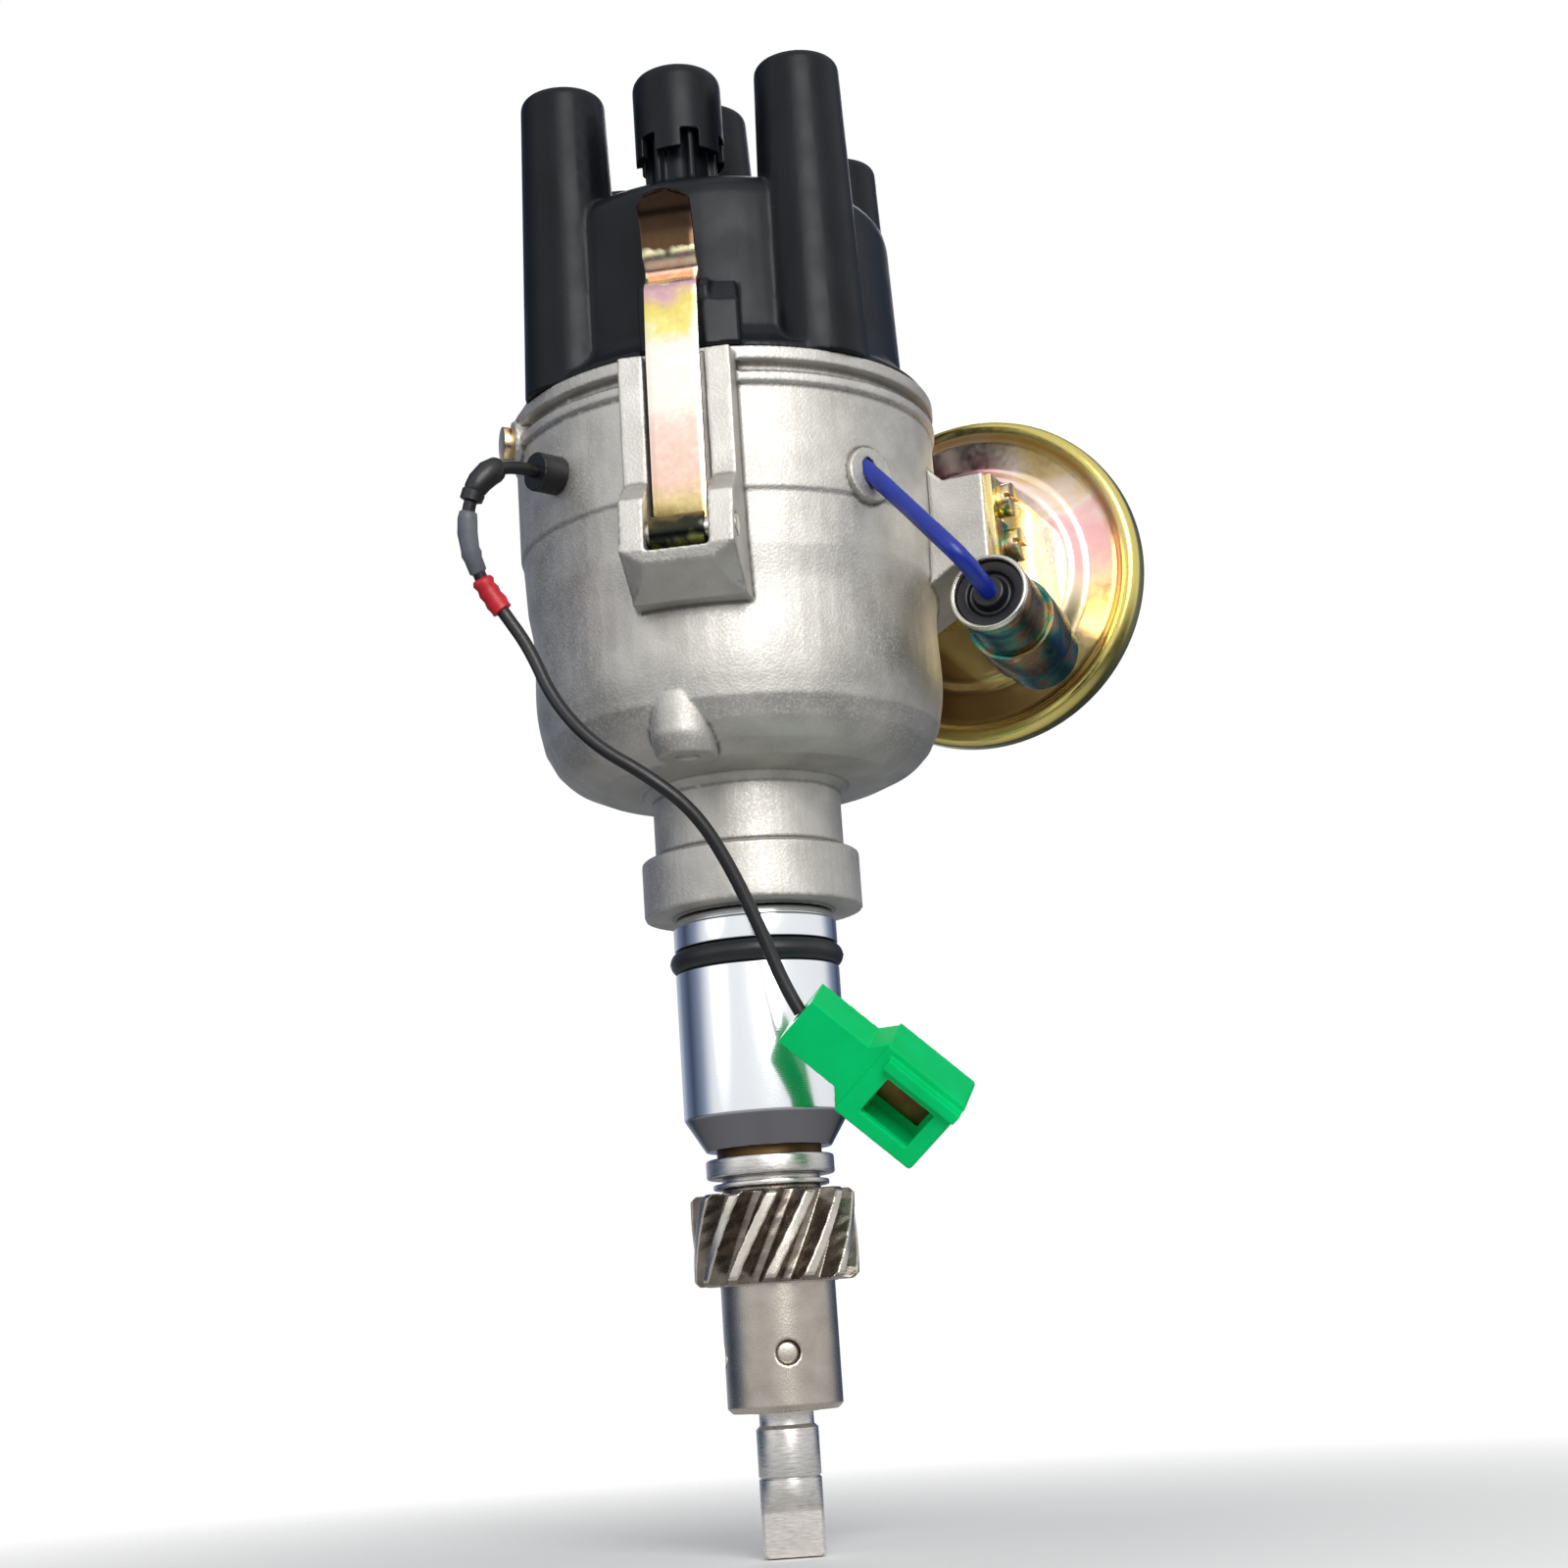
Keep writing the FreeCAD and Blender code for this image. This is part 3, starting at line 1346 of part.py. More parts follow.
def lead_way_out():
    """Slanting line that the blue lead's hole takes through the boss: its inner and outer ends."""
    mouth = azimuth(LEAD_BOSS_AZ, BOWL_TOP_R + LEAD_BOSS_PROUD, LEAD_BOSS_Z)
    slant = azimuth(LEAD_BOSS_AZ + LEAD_TURN, 1.0) - UP * LEAD_FALL
    return mouth - slant * (WALL + LEAD_BOSS_PROUD), mouth + slant * LEAD_STRAIGHT


def condenser_lead():
    """Blue lead from the housing's boss to the condenser's nub, held at both ends."""
    front = cond_front()
    tip = front + cond_way() * (COND_SEAL_SUNK - 1.2)
    start, mouth = lead_way_out()
    points = [start, mouth, front + LEAD_BEND_IN, front + LEAD_BEND_OUT, tip]
    return tube([(p.x, p.y, p.z) for p in points], COND_LEAD_R, "condenser lead")


# clips

def clip_pin(az):
    half = CLIP_PIN_L / 2
    pin = rod(V(-half, -CLIP_PIN_Y, CLIP_PIN_Z), V(half, -CLIP_PIN_Y, CLIP_PIN_Z), CLIP_PIN_R)
    return turned(pin.makeChamfer(0.3, outer_edges(pin, CLIP_PIN_R)), az)


def clip_pins():
    return solids(*[clip_pin(az) for az in CLIP_AZ])


def clip_line():
    """Side view of the strip's inner face, from the loop's inner side to the thumb tab."""
    skin = -BOWL_TOP_R
    y = -CLIP_PIN_Y + CLIP_PIN_R + 0.1
    return [
        (y, CLIP_PIN_Z),
        (skin - 3.3, RIM_TOP - 1.8),
        (skin - 1.7, RIM_TOP + 12.2),
        (skin + 0.7, RIM_TOP + 14.6),
        (skin + 0.7, RIM_TOP + 15.8),
        (skin - 1.3, RIM_TOP + 17.4),
        (skin - 1.6, RIM_TOP + 21.7),
        (skin - 3.1, RIM_TOP + 25.8),
        (skin - 6.1, RIM_TOP + 28.4),
    ]


def clip(az):
    """Sprung strip: loop round the pin, straight shank, hook bend and curled thumb tab."""
    inner = clip_line()
    outer = [offset_point(inner, i, CLIP_T) for i in range(len(inner))]
    outline = [V(-CLIP_W / 2, y, z) for y, z in inner + outer[::-1]]
    strip = extrude(outline, V(CLIP_W, 0, 0))
    middle = V(-CLIP_W / 2, -CLIP_PIN_Y, CLIP_PIN_Z)
    loop_r = CLIP_PIN_R + 0.1
    loop = Part.makeCylinder(loop_r + CLIP_T, CLIP_W, middle, V(1, 0, 0))
    bore = Part.makeCylinder(loop_r, CLIP_W + 2, middle - V(1, 0, 0), V(1, 0, 0))
    mouth = extrude([
        V(-CLIP_W, -CLIP_PIN_Y - 0.4, CLIP_PIN_Z + loop_r * 0.2),
        V(-CLIP_W, -CLIP_PIN_Y - 0.4, CLIP_PIN_Z + loop_r + 3),
        V(-CLIP_W, -CLIP_PIN_Y + loop_r - 0.3, CLIP_PIN_Z + loop_r + 3),
        V(-CLIP_W, -CLIP_PIN_Y + loop_r - 0.3, CLIP_PIN_Z + loop_r * 0.2),
    ], V(2 * CLIP_W, 0, 0))
    return turned(fuse(loop.cut(mouth), strip).cut(bore), az)


def offset_point(points, i, t):
    """The point t outwards from a side-view line, square to its two neighbours."""
    a = points[max(i - 1, 0)]
    b = points[min(i + 1, len(points) - 1)]
    dy = b[0] - a[0]
    dz = b[1] - a[1]
    length = sqrt(dy * dy + dz * dz)
    return points[i][0] - t * dz / length, points[i][1] + t * dy / length


# cap

def tower(az):
    """Plug-lead tower: a tall tapered post blended into the cap's wall."""
    foot = RIM_TOP
    post = revolve([(0, foot), (TOWER_FOOT_R, foot)] + round_edge(TOWER_R, TOWER_TOP, TOWER_EDGE) + [(0, TOWER_TOP)])
    post.translate(V(0, -TOWER_AT, 0))
    return turned(post, az)


def coil_tower():
    foot = CAP_TOP - 2
    edge = round_edge(COIL_TOWER_R, COIL_TOWER_TOP, TOWER_EDGE)
    return revolve([(0, foot), (COIL_TOWER_R + 1.2, foot)] + edge + [(0, COIL_TOWER_TOP)])


def cap_outside():
    points = [(0, RIM_TOP), (CAP_R, RIM_TOP)]
    points += bend((CAP_R, RIM_TOP + 1.4), (CAP_BODY_R + 1.6, CAP_FLARE_Z - 3.6), (CAP_BODY_R, CAP_FLARE_Z + 2))
    points += round_edge(CAP_TOP_R, CAP_TOP, CAP_EDGE)
    return revolve(points + [(0, CAP_TOP)])


def clip_boss(az):
    """Block on the cap's wall whose top the clip hooks over."""
    inner = -CAP_CAVITY_R - 2.4
    skin = -BOWL_TOP_R
    side = [
        (inner, RIM_TOP + 0.2),
        (skin - 0.7, RIM_TOP + 0.2),
        (skin - 0.9, RIM_TOP + 6.2),
        (skin - 0.7, RIM_TOP + 11.8),
        (skin + 0.7, RIM_TOP + 13.8),
        (inner, RIM_TOP + 14.6),
    ]
    return turned(extrude([V(-6.6, y, z) for y, z in side], V(13.2, 0, 0)), az)


def cap_key():
    """Locating key beside the front clip."""
    front = -CAP_R - 1.6
    top = RIM_TOP + KEY_H
    key = block(-KEY_W / 2, KEY_W / 2, front, -CAP_CAVITY_R - 2.4, RIM_TOP + 0.2, top)
    corners = [V(-KEY_W, front - 0.4, top - 5.6), V(-KEY_W, front - 0.4, top + 1.4), V(-KEY_W, front + 4.6, top + 1.4)]
    slope = extrude(corners, V(2 * KEY_W, 0, 0))
    return turned(key.cut(slope), KEY_AZ)


def vent_post():
    at = azimuth(VENT_AZ, VENT_AT)
    post = disc(VENT_POST_R, CAP_TOP - 3, VENT_TOP - VENT_WALL, at)
    reach = VENT_R - VENT_WALL - RUN_FIT
    ribs = []
    for i in range(3):
        rib = block(-reach, reach, -0.7, 0.7, CAP_TOP - 1, VENT_TOP - VENT_WALL)
        rib.rotate(V(0, 0, 0), UP, VENT_AZ + 60 * i)
        rib.translate(V(at.x, at.y, 0))
        ribs.append(rib)
    return fuse(post, *ribs), disc(2.4, CAP_CEILING - 1, VENT_TOP - VENT_WALL - 2, at)


def cap():
    body = cap_outside()
    towers = [tower(az) for az in TOWER_AZ]
    bosses = [clip_boss(az) for az in CLIP_AZ]
    post, vent_hole = vent_post()
    spigot = disc(SPIGOT_R, RIM_TOP - SPIGOT_H, RIM_TOP)
    skirt = disc(RIM_R + 4, RIM_TOP, TOWER_TOP + 20)
    body = fuse(body, coil_tower(), post, cap_key(), spigot, *[s.common(skirt) for s in towers + bosses])
    corner = 3.0
    cavity = revolve([
        (0, RIM_TOP),
        (CAP_CAVITY_R, RIM_TOP),
        (CAP_CAVITY_R, CAP_CEILING - corner),
        (CAP_CAVITY_R - corner, CAP_CEILING),
        (0, CAP_CEILING),
    ])
    mouth = disc(SPIGOT_IN_R, RIM_TOP - SPIGOT_H - 1, RIM_TOP + 1.5)
    groove = ring(GASKET_R[1], GASKET_R[0], RIM_TOP - 1, RIM_TOP + GASKET_T)
    cuts = [cavity, mouth, groove, vent_hole]
    body = body.cut(cuts)
    inner = coil_post()
    body = fuse(body, inner)
    drills = [disc(SOCKET_R, SOCKET_BOTTOM - 1, COIL_TOWER_TOP + 1), disc(CUP_OUT_R, cup_floor(), SOCKET_BOTTOM)]
    drills.append(disc(BRUSH_R + RUN_FIT, brush_bottom() - 1, cup_floor() + 1))
    for az in TOWER_AZ:
        drills.append(disc(SOCKET_R, SOCKET_BOTTOM - 1, COIL_TOWER_TOP, azimuth(az, TOWER_AT)))
        drills.append(disc(CUP_OUT_R, cup_floor(), SOCKET_BOTTOM, azimuth(az, TOWER_AT)))
        drills.append(disc(TERMINAL_R, TERMINAL_BOTTOM - 1, cup_floor() + 1, azimuth(az, TERMINAL_AT)))
    return body.cut(drills)


def brush_bottom():
    return ROTOR_HUB_TOP + ROTOR_ARM_T + BLADE_T + 0.05


def coil_post():
    """Guide inside the cap for the carbon brush."""
    return disc(BRUSH_R + 2.6, brush_bottom() + 5.0, CAP_CEILING + 1)


def cup_floor():
    return SOCKET_BOTTOM - CUP_DEPTH


def brass_cup(at):
    z0 = cup_floor()
    cup = disc(CUP_OUT_R, z0, SOCKET_BOTTOM - CUP_SUNK, at)
    return cup.cut(disc(CUP_OUT_R - CUP_WALL, z0 + 1.2, SOCKET_BOTTOM + 1, at))


def tower_terminals():
    """Brass sockets in the towers, each with its rod down to the rotor's level."""
    made = []
    for az in TOWER_AZ:
        leg = disc(TERMINAL_R, TERMINAL_BOTTOM, cup_floor() + 0.6, azimuth(az, TERMINAL_AT))
        made.append(fuse(brass_cup(azimuth(az, TOWER_AT)), leg))
    return solids(*made)


def coil_terminal():
    return brass_cup(V(0, 0, 0))


def carbon_brush():
    brush = disc(BRUSH_R, brush_bottom(), brush_bottom() + BRUSH_L)
    return brush.makeChamfer(0.6, [e for e in outer_edges(brush, BRUSH_R) if e.BoundBox.ZMin < brush_bottom() + 1])


def brush_spring():
    z0 = brush_bottom() + BRUSH_L + 0.3
    z1 = cup_floor() - 0.3
    return coil(1.6, 0.25, z1 - z0, 6, V(0, 0, z0), V(0, 0, z1))


def vent_cover():
    """Castellated dust cover, open downwards, with slots cut into its skirt."""
    at = azimuth(VENT_AZ, VENT_AT)
    cover = revolve([(0, VENT_BOTTOM), (VENT_R, VENT_BOTTOM)] + round_edge(VENT_R, VENT_TOP, VENT_EDGE) + [(0, VENT_TOP)])
    cover.translate(at)
    inside = disc(VENT_R - VENT_WALL, VENT_BOTTOM - 1, VENT_TOP - VENT_WALL, at)
    slots = []
    for i in range(VENT_SLOTS):
        slot = block(-1.7, 1.7, -VENT_R - 1, -VENT_R + 3, VENT_BOTTOM - 1, VENT_BOTTOM + 3.4)
        slot.rotate(V(0, 0, 0), UP, VENT_AZ + 26 + 360.0 * i / VENT_SLOTS)
        slot.translate(V(at.x, at.y, 0))
        slots.append(slot)
    return cover.cut([inside] + slots)


def cap_gasket():
    return ring(GASKET_R[1], GASKET_R[0], RIM_TOP, RIM_TOP + GASKET_T)


# low-tension lead

def grommet():
    """Black insulator through the bowl's wall, collared on the outside."""
    start = azimuth(GROMMET_AZ, bowl_wall_r() - 1.5, GROMMET_Z)
    wall = azimuth(GROMMET_AZ, BOWL_TOP_R - 0.2, GROMMET_Z)
    tip = azimuth(GROMMET_AZ, BOWL_TOP_R + GROMMET_PROUD, GROMMET_Z)
    throat = rod(start, tip, GROMMET_R - 0.6)
    collar = rod(wall, tip, GROMMET_R)
    outer = disc(BOWL_TOP_R, GROMMET_Z - 8, GROMMET_Z + 8)
    return fuse(throat, collar.cut(outer)).cut(lead_wire())


def lead_points():
    tip = azimuth(GROMMET_AZ, BOWL_TOP_R + GROMMET_PROUD, GROMMET_Z)
    return [(tip.x, tip.y, tip.z)] + LEAD_ROUTE + [plug_start()]


def plug_start():
    return (7.0, -27.0, -22.3)


def lead_wire():
    return tube(lead_points(), LEAD_R, "lead")


def sleeve(i, share0, share1, r):
    """A sleeve round the lead on one straight run of its route."""
    points = lead_points()
    a = V(*points[i])
    b = V(*points[i + 1])
    way = b.sub(a)
    start = a + way * share0
    end = a + way * share1
    return rod(start, end, r).cut(lead_wire())


def plug_frame(shape):
    """Places the connector: its own +X along its length, its +Z to the side, -Y to the front."""
    way = V(PLUG_AXIS).normalize()
    angle = degrees(atan2(-way.z, way.x))
    shape = shape.copy()
    shape.rotate(V(0, 0, 0), V(0, 1, 0), angle)
    shape.translate(V(*plug_start()))
    return shape


def plug_housing():
    """Connector shell: narrow lead block, wide mating block with a window and a latch rib."""
    w0, w1 = PLUG_W
    t0, t1 = PLUG_T
    l0, l1 = PLUG_L
    x1 = l0 + l1
    back = block(0, l0, -t0 / 2, t0 / 2, -w0 / 2, w0 / 2)
    front = block(l0, x1, -t1 / 2, t1 / 2, -w1 / 2, w1 / 2)
    blend = extrude([V(l0 - 2.5, -t0 / 2, -w0 / 2), V(l0, -t0 / 2, -w1 / 2), V(l0, -t0 / 2, w1 / 2), V(l0 - 2.5, -t0 / 2, w0 / 2)], V(0, t0, 0))
    rib = block(l0 + 1.5, x1, -t1 / 2 - 1.6, -t1 / 2, w1 / 2 - 3.6, w1 / 2 - 1.4)
    body = fuse(back, front, blend, rib)
    body = body.makeFillet(0.7, [e for e in body.Edges if abs(e.BoundBox.XMin - x1) < 1e-6 and e.Length > 8])
    socket = block(l0 + 1.5, x1 + 1, -t1 / 2 + PLUG_WALL, t1 / 2 - PLUG_WALL, -w1 / 2 + PLUG_WALL, w1 / 2 - PLUG_WALL)
    window = block(l0 + 3.6, x1 - 3.2, -t1, 0, -w1 / 2 + 3.0, w1 / 2 - 5.2)
    entry = rod(V(-1, 0, 0), V(l0 + 2, 0, 0), LEAD_R + 0.8)
    return plug_frame(body.cut([socket, window, entry]))


def plug_terminal():
    """Brass blade in the connector, crimped to the lead."""
    l0, l1 = PLUG_L
    crimp = rod(V(0.8, 0, 0), V(l0 + 3.0, 0, 0), LEAD_R + 0.8)
    blade = block(l0 + 1.5, l0 + l1 - 3.5, -0.5, 0.5, -3.0, 3.0)
    return plug_frame(fuse(crimp, blade))


NODES = {
    "housing": housing,
    "upper_bush": upper_bush,
    "lower_bush": lower_bush,
    "o_ring": o_ring,
    "thick_washer": thick_washer,
    "spacer_washer": spacer_washer,
    "thin_washer": thin_washer,
    "drive_shaft": shaft,
    "drive_gear": drive_gear,
    "gear_pin": gear_pin,
    "governor_plate": governor_plate,
    "governor_weight_a": lambda: governor_weight(1),
    "governor_weight_b": lambda: governor_weight(-1),
    "governor_spring_a": lambda: governor_spring(1),
    "governor_spring_b": lambda: governor_spring(-1),
    "cam": cam,
    "oil_felt": oil_felt,
    "rotor": rotor,
    "rotor_blade": rotor_blade,
    "fixed_plate": fixed_plate,
    "plate_screws": plate_screws,
    "breaker_plate": breaker_plate,
    "snap_ring": snap_ring,
    "fixed_contact": fixed_contact,
    "contact_screw": contact_screw,
    "breaker_lever": breaker_lever,
    "lever_bush": lever_bush,
    "rubbing_block": rubbing_block,
    "terminal_block": terminal_block,
    "breaker_spring": breaker_spring,
    "can_front_shell": can_front_shell,
    "can_rear_shell": can_rear_shell,
    "diaphragm": diaphragm,
    "diaphragm_cup": diaphragm_cup,
    "diaphragm_spring": diaphragm_spring,
    "vacuum_rod": vacuum_rod,
    "vacuum_bracket": vacuum_bracket,
    "bracket_screws": bracket_screws,
    "condenser_can": condenser_can,
    "condenser_seal": condenser_seal,
    "condenser_strap": condenser_strap,
    "condenser_lead": condenser_lead,
    "clip_pins": clip_pins,
    "front_clip": lambda: clip(CLIP_AZ[0]),
    "rear_clip": lambda: clip(CLIP_AZ[1]),
    "cap": cap,
    "cap_gasket": cap_gasket,
    "tower_terminals": tower_terminals,
    "coil_terminal": coil_terminal,
    "carbon_brush": carbon_brush,
    "brush_spring": brush_spring,
    "vent_cover": vent_cover,
    "rim_screw": rim_screw,
    "lead_grommet": grommet,
    "lead_wire": lead_wire,
    "lead_boot": lambda: sleeve(1, 0.2, 0.9, SLEEVE_R + 0.3),
    "sleeve_grey": lambda: sleeve(2, 0.3, 0.95, SLEEVE_R),
    "sleeve_red": lambda: sleeve(4, 0.1, 0.9, SLEEVE_R),
    "plug_housing": plug_housing,
    "plug_terminal": plug_terminal,
}

for name, make in NODES.items():
    shape = make()
    count = len(shape.Solids)
    if count == 1:
        shape = shape.Solids[0]
    if not shape.isValid() or not count:
        print("check", name, count, shape.isValid())
    shape.exportStep(f"parts/{name}.step")
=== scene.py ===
import json
from math import cos, pi, radians, sin, sqrt

import bmesh
import bpy
from mathutils import Matrix, Vector

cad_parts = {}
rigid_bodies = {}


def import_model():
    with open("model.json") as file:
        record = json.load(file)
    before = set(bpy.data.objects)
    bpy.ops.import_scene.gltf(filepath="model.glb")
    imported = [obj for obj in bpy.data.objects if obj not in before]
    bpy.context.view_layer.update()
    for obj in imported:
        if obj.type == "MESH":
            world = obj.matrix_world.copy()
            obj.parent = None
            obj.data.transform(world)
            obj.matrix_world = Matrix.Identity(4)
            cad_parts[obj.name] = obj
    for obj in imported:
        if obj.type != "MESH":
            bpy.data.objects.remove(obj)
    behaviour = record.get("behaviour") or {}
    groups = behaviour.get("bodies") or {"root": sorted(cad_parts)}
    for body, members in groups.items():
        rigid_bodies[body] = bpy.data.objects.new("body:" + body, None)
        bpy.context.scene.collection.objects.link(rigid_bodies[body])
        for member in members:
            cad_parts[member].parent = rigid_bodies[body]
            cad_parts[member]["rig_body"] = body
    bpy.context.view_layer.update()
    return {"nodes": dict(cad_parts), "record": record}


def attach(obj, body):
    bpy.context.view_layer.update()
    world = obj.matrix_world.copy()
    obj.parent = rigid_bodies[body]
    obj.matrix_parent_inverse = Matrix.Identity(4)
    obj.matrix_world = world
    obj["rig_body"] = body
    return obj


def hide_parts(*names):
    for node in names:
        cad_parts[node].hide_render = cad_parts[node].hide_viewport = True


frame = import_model()

# Ignition distributor, dressed for the render. The shaft's axis is on Z, the front clip towards -Y.
# Lengths are in metres, but for the outlines that say millimetres.

MM = 0.001
SIDES = 128
ON_AXIS = 1e-7
WELD = 1e-6
ROUNDING = 1e-12

# camera, as the photograph was taken
CAMERA_AT = Vector((0.0, -0.462, -0.0786))
CAMERA_YAW = radians(0.9)
CAMERA_PITCH = radians(12.6)
CAMERA_ROLL = radians(-3.9)
CAMERA_LENS = 57.44
CAMERA_SENSOR = 36.0

# corners of an outline: steps in each round, and the most of a side that one round may take
EASE_STEPS = 4
EASE_SHARE = 0.45

# how finely a moulded piece is skinned, and how wide the edges of a worked one are broken
BODY_GRAIN = 0.00034
CAP_GRAIN = 0.0004
FINE_GRAIN = 0.0002
EDGE = 0.0002
WASHER_EDGE = 0.0003
PIN_EDGE = 0.0004
BLADE_EDGE = 0.0001

# black low-tension lead, the same route as in the part
LEAD_POINTS = [
    (-0.03470, -0.02912, 0.0795),
    (-0.0397, -0.0333, 0.0799),
    (-0.0450, -0.0360, 0.0756),
    (-0.0474, -0.0344, 0.0672),
    (-0.0454, -0.0310, 0.0592),
    (-0.0412, -0.0296, 0.0526),
    (-0.0370, -0.0300, 0.0458),
    (-0.0332, -0.0314, 0.0356),
    (-0.0264, -0.0334, 0.0266),
    (-0.0172, -0.0346, 0.0202),
    (-0.0090, -0.0334, 0.0132),
    (-0.0034, -0.0310, 0.0032),
    (0.0014, -0.0288, -0.0086),
    (0.0044, -0.0275, -0.0174),
    (0.0070, -0.0270, -0.0223),
]
LEAD_R = 0.0012

# boot and sleeves: where on the lead they start and end
BOOT_SPAN = ((-0.0405, -0.0339, 0.0790), (-0.0462, -0.0352, 0.0722))
GREY_SPAN = ((-0.0466, -0.0349, 0.0706), (-0.0456, -0.0313, 0.0600))
RED_SPAN = ((-0.0452, -0.0310, 0.0590), (-0.0414, -0.0297, 0.0530))

# their shapes: share of the length, radius in millimetres
BOOT_SHAPE = [
    (0.0, 1.3), (0.02, 2.0), (0.1, 2.35), (0.3, 2.45), (0.55, 2.3),
    (0.72, 2.1), (0.78, 1.9), (0.8, 2.15), (0.97, 2.05), (1.0, 1.3),
]
GREY_SHAPE = [
    (0.0, 1.25), (0.02, 1.6), (0.12, 1.8), (0.35, 1.85), (0.6, 1.7),
    (0.68, 1.9), (0.76, 1.65), (0.97, 1.6), (1.0, 1.25),
]
RED_SHAPE = [
    (0.0, 1.25), (0.02, 1.7), (0.12, 2.05), (0.25, 1.7), (0.4, 2.0),
    (0.55, 1.8), (0.72, 2.05), (0.88, 1.85), (0.97, 1.9), (1.0, 1.25),
]
SLEEVE_SIDES = 28

# connector: its long axis, its upper side and how it hangs
PLUG_AXIS = Vector((0.745, 0.0, -0.667))
PLUG_UP = Vector((0.667, 0.0, 0.745))
PLUG_ROLL = radians(33)
PLUG_YAW = radians(8)

# blue lead from the housing to the condenser
BLUE_POINTS = [
    (0.0232, -0.0299, 0.0782),
    (0.0300, -0.0338, 0.0694),
    (0.0359, -0.0418, 0.0592),
    (0.0413, -0.0448, 0.0518),
    (0.0453, -0.0350, 0.0496),
]
BLUE_R = 0.00165

# cast bowl: how far it stands out more than in the part, and where that starts, is full, wanes and ends
BOWL_FULLER = 0.0023
BOWL_FULLER_Z = (0.0220, 0.0280, 0.0380, 0.0560)
BOWL_FULLER_R = (0.0230, 0.0270, 0.0400, 0.0440)
BODY_CUT = -0.0006

# machined barrel
BARREL_R = 0.0152
BARREL_BOTTOM = -0.0376
BARREL_TOP = 0.0001
NOSE_R = 0.0115
NOSE_BOTTOM = -0.0436
RELIEF_R = 0.01465
RELIEF_H = 0.0022
BUSH_R = 0.0082
MACHINED_EDGE = 0.00025
# where the nose turns dark grey, and where the painted shade under the collar fades in
NOSE_DARK = (-0.0380, -0.0374)
COLLAR_SHADE_FADE = (-0.0012, -0.0007)

# O-ring, with its mould's parting line
ORING_Z = -0.0086
ORING_R = 0.0022
ORING_CENTRE_R = 0.0139
ORING_LINE = 0.00007
ORING_SIDES = 40

# gear and shaft: where their finishes change
GEAR_LAND_R = 0.0146
GEAR_BOTTOM = -0.0676
GEAR_FADE = 0.0002
TANG_TOP = -0.1045
TANG_FADE = (TANG_TOP - 0.0034, TANG_TOP - 0.0026)

# vent cover's skirt hangs a little lower than in the part
VENT_SKIRT = 0.0016

# clips: a strip seen from its side as (distance from the axis, height), and how it is drawn
CLIP_TURNS = {"front_clip": radians(-10.5), "rear_clip": radians(169.5)}
CLIP_PIN_Y = -0.0476
CLIP_PIN_Z = 0.0604
CLIP_W = 0.0098
CLIP_T = 0.0010
CLIP_LOOP_R = 0.0026
CLIP_LOOP_START = 112
CLIP_LOOP_STEP = 8
CLIP_TAB = 0.009
CLIP_ARCH = 0.0032
CLIP_ARCH_SHARE = 0.96
CLIP_EASE = 0.0011
CLIP_EDGE = 0.00025
CLIP_CORNER = 0.3
CLIP_COLUMNS = 10
CLIP_ROWS = 150
CLIP_RISE = 0.070
CLIP_SIDE = [
    (-0.0452, 0.0660),
    (-0.0441, 0.0950),
    (-0.0425, 0.1088),
    (-0.0401, 0.1112),
    (-0.0401, 0.1128),
    (-0.0421, 0.1146),
    (-0.0424, 0.1186),
    (-0.0438, 0.1228),
    (-0.0466, 0.1254),
]

# vacuum can: D runs out from the shaft, C back along the can's axis
CAN_TURN = radians(24.0)
CAN_D = 0.0346
CAN_C = 0.0415
CAN_Z = 0.0700
CAN_R = 0.0341
CAN_EASE = 0.0011
CAN_SEAM = (0.0285, 0.0325)

# its two pressings: radius and place on the axis, in millimetres
CAN_FRONT = [
    (4.0, 0), (21.0, 0), (23.4, 2.4), (29.7, 2.4),
    (31.1, 1.4), (32.9, 1.4), (34.1, 2.8), (34.1, 7.0), (33.1, 8.2), (31.5, 8.2),
    (31.5, 7.2), (33.1, 7.0), (33.1, 3.4), (22.9, 3.4), (20.5, 1.0), (4.0, 1.0),
]
CAN_REAR = [
    (2.0, 33.0), (3.6, 33.0), (4.3, 30.5), (3.6, 29.8), (3.6, 17.0),
    (4.8, 16.0), (18.0, 16.0), (26.0, 12.0), (28.5, 6.0), (33.0, 6.0),
    (33.0, 5.0), (27.4, 5.0), (25.2, 11.3), (17.6, 15.0), (2.0, 15.0),
]

# condenser: its place, and its outlines and rounds in millimetres
COND_FRONT = Vector((0.04525, -0.0350, 0.0496))
COND_AXIS = Vector((0.388, 0.910, -0.144)).normalized()
COND_CAN = [(0, 33.0), (5.7, 33.0), (7.2, 31.5), (7.2, 2.6), (6.8, 2.1), (6.3, 2.0), (6.3, 4.2), (0, 4.2)]
COND_MOUTH = [(6.35, 0.2), (6.9, 0.0), (7.3, 0.45), (7.3, 1.3), (6.8, 2.1), (6.35, 2.1)]
COND_SEAL = [(0, 4.15), (6.3, 4.15), (6.3, 1.0), (4.4, 1.2), (4.0, 1.9), (3.3, 1.9), (2.8, 0.0), (0, 0.0)]
COND_EASE = 0.5
SEAL_EASE = 0.35

# finishes: where soft clouds turn from one shade to the next, and the skin of a chromate film
CLOUD_MARKS = (0.33, 0.67)
FILM_GRIT = 0.0012
FILM_DEPTH = 0.0000015

# the band texture's own period at a scale of one
BAND_PERIOD = 0.31

# floor
FLOOR_Z = -0.1155
FLOOR_R = 0.5
FLOOR_SIDES = 24
FLOOR_FADE = (0.13, 0.32)


# helpers for meshes

def linked(name, data):
    """A new object in the scene."""
    made = bpy.data.objects.new(name, data)
    bpy.context.scene.collection.objects.link(made)
    return made


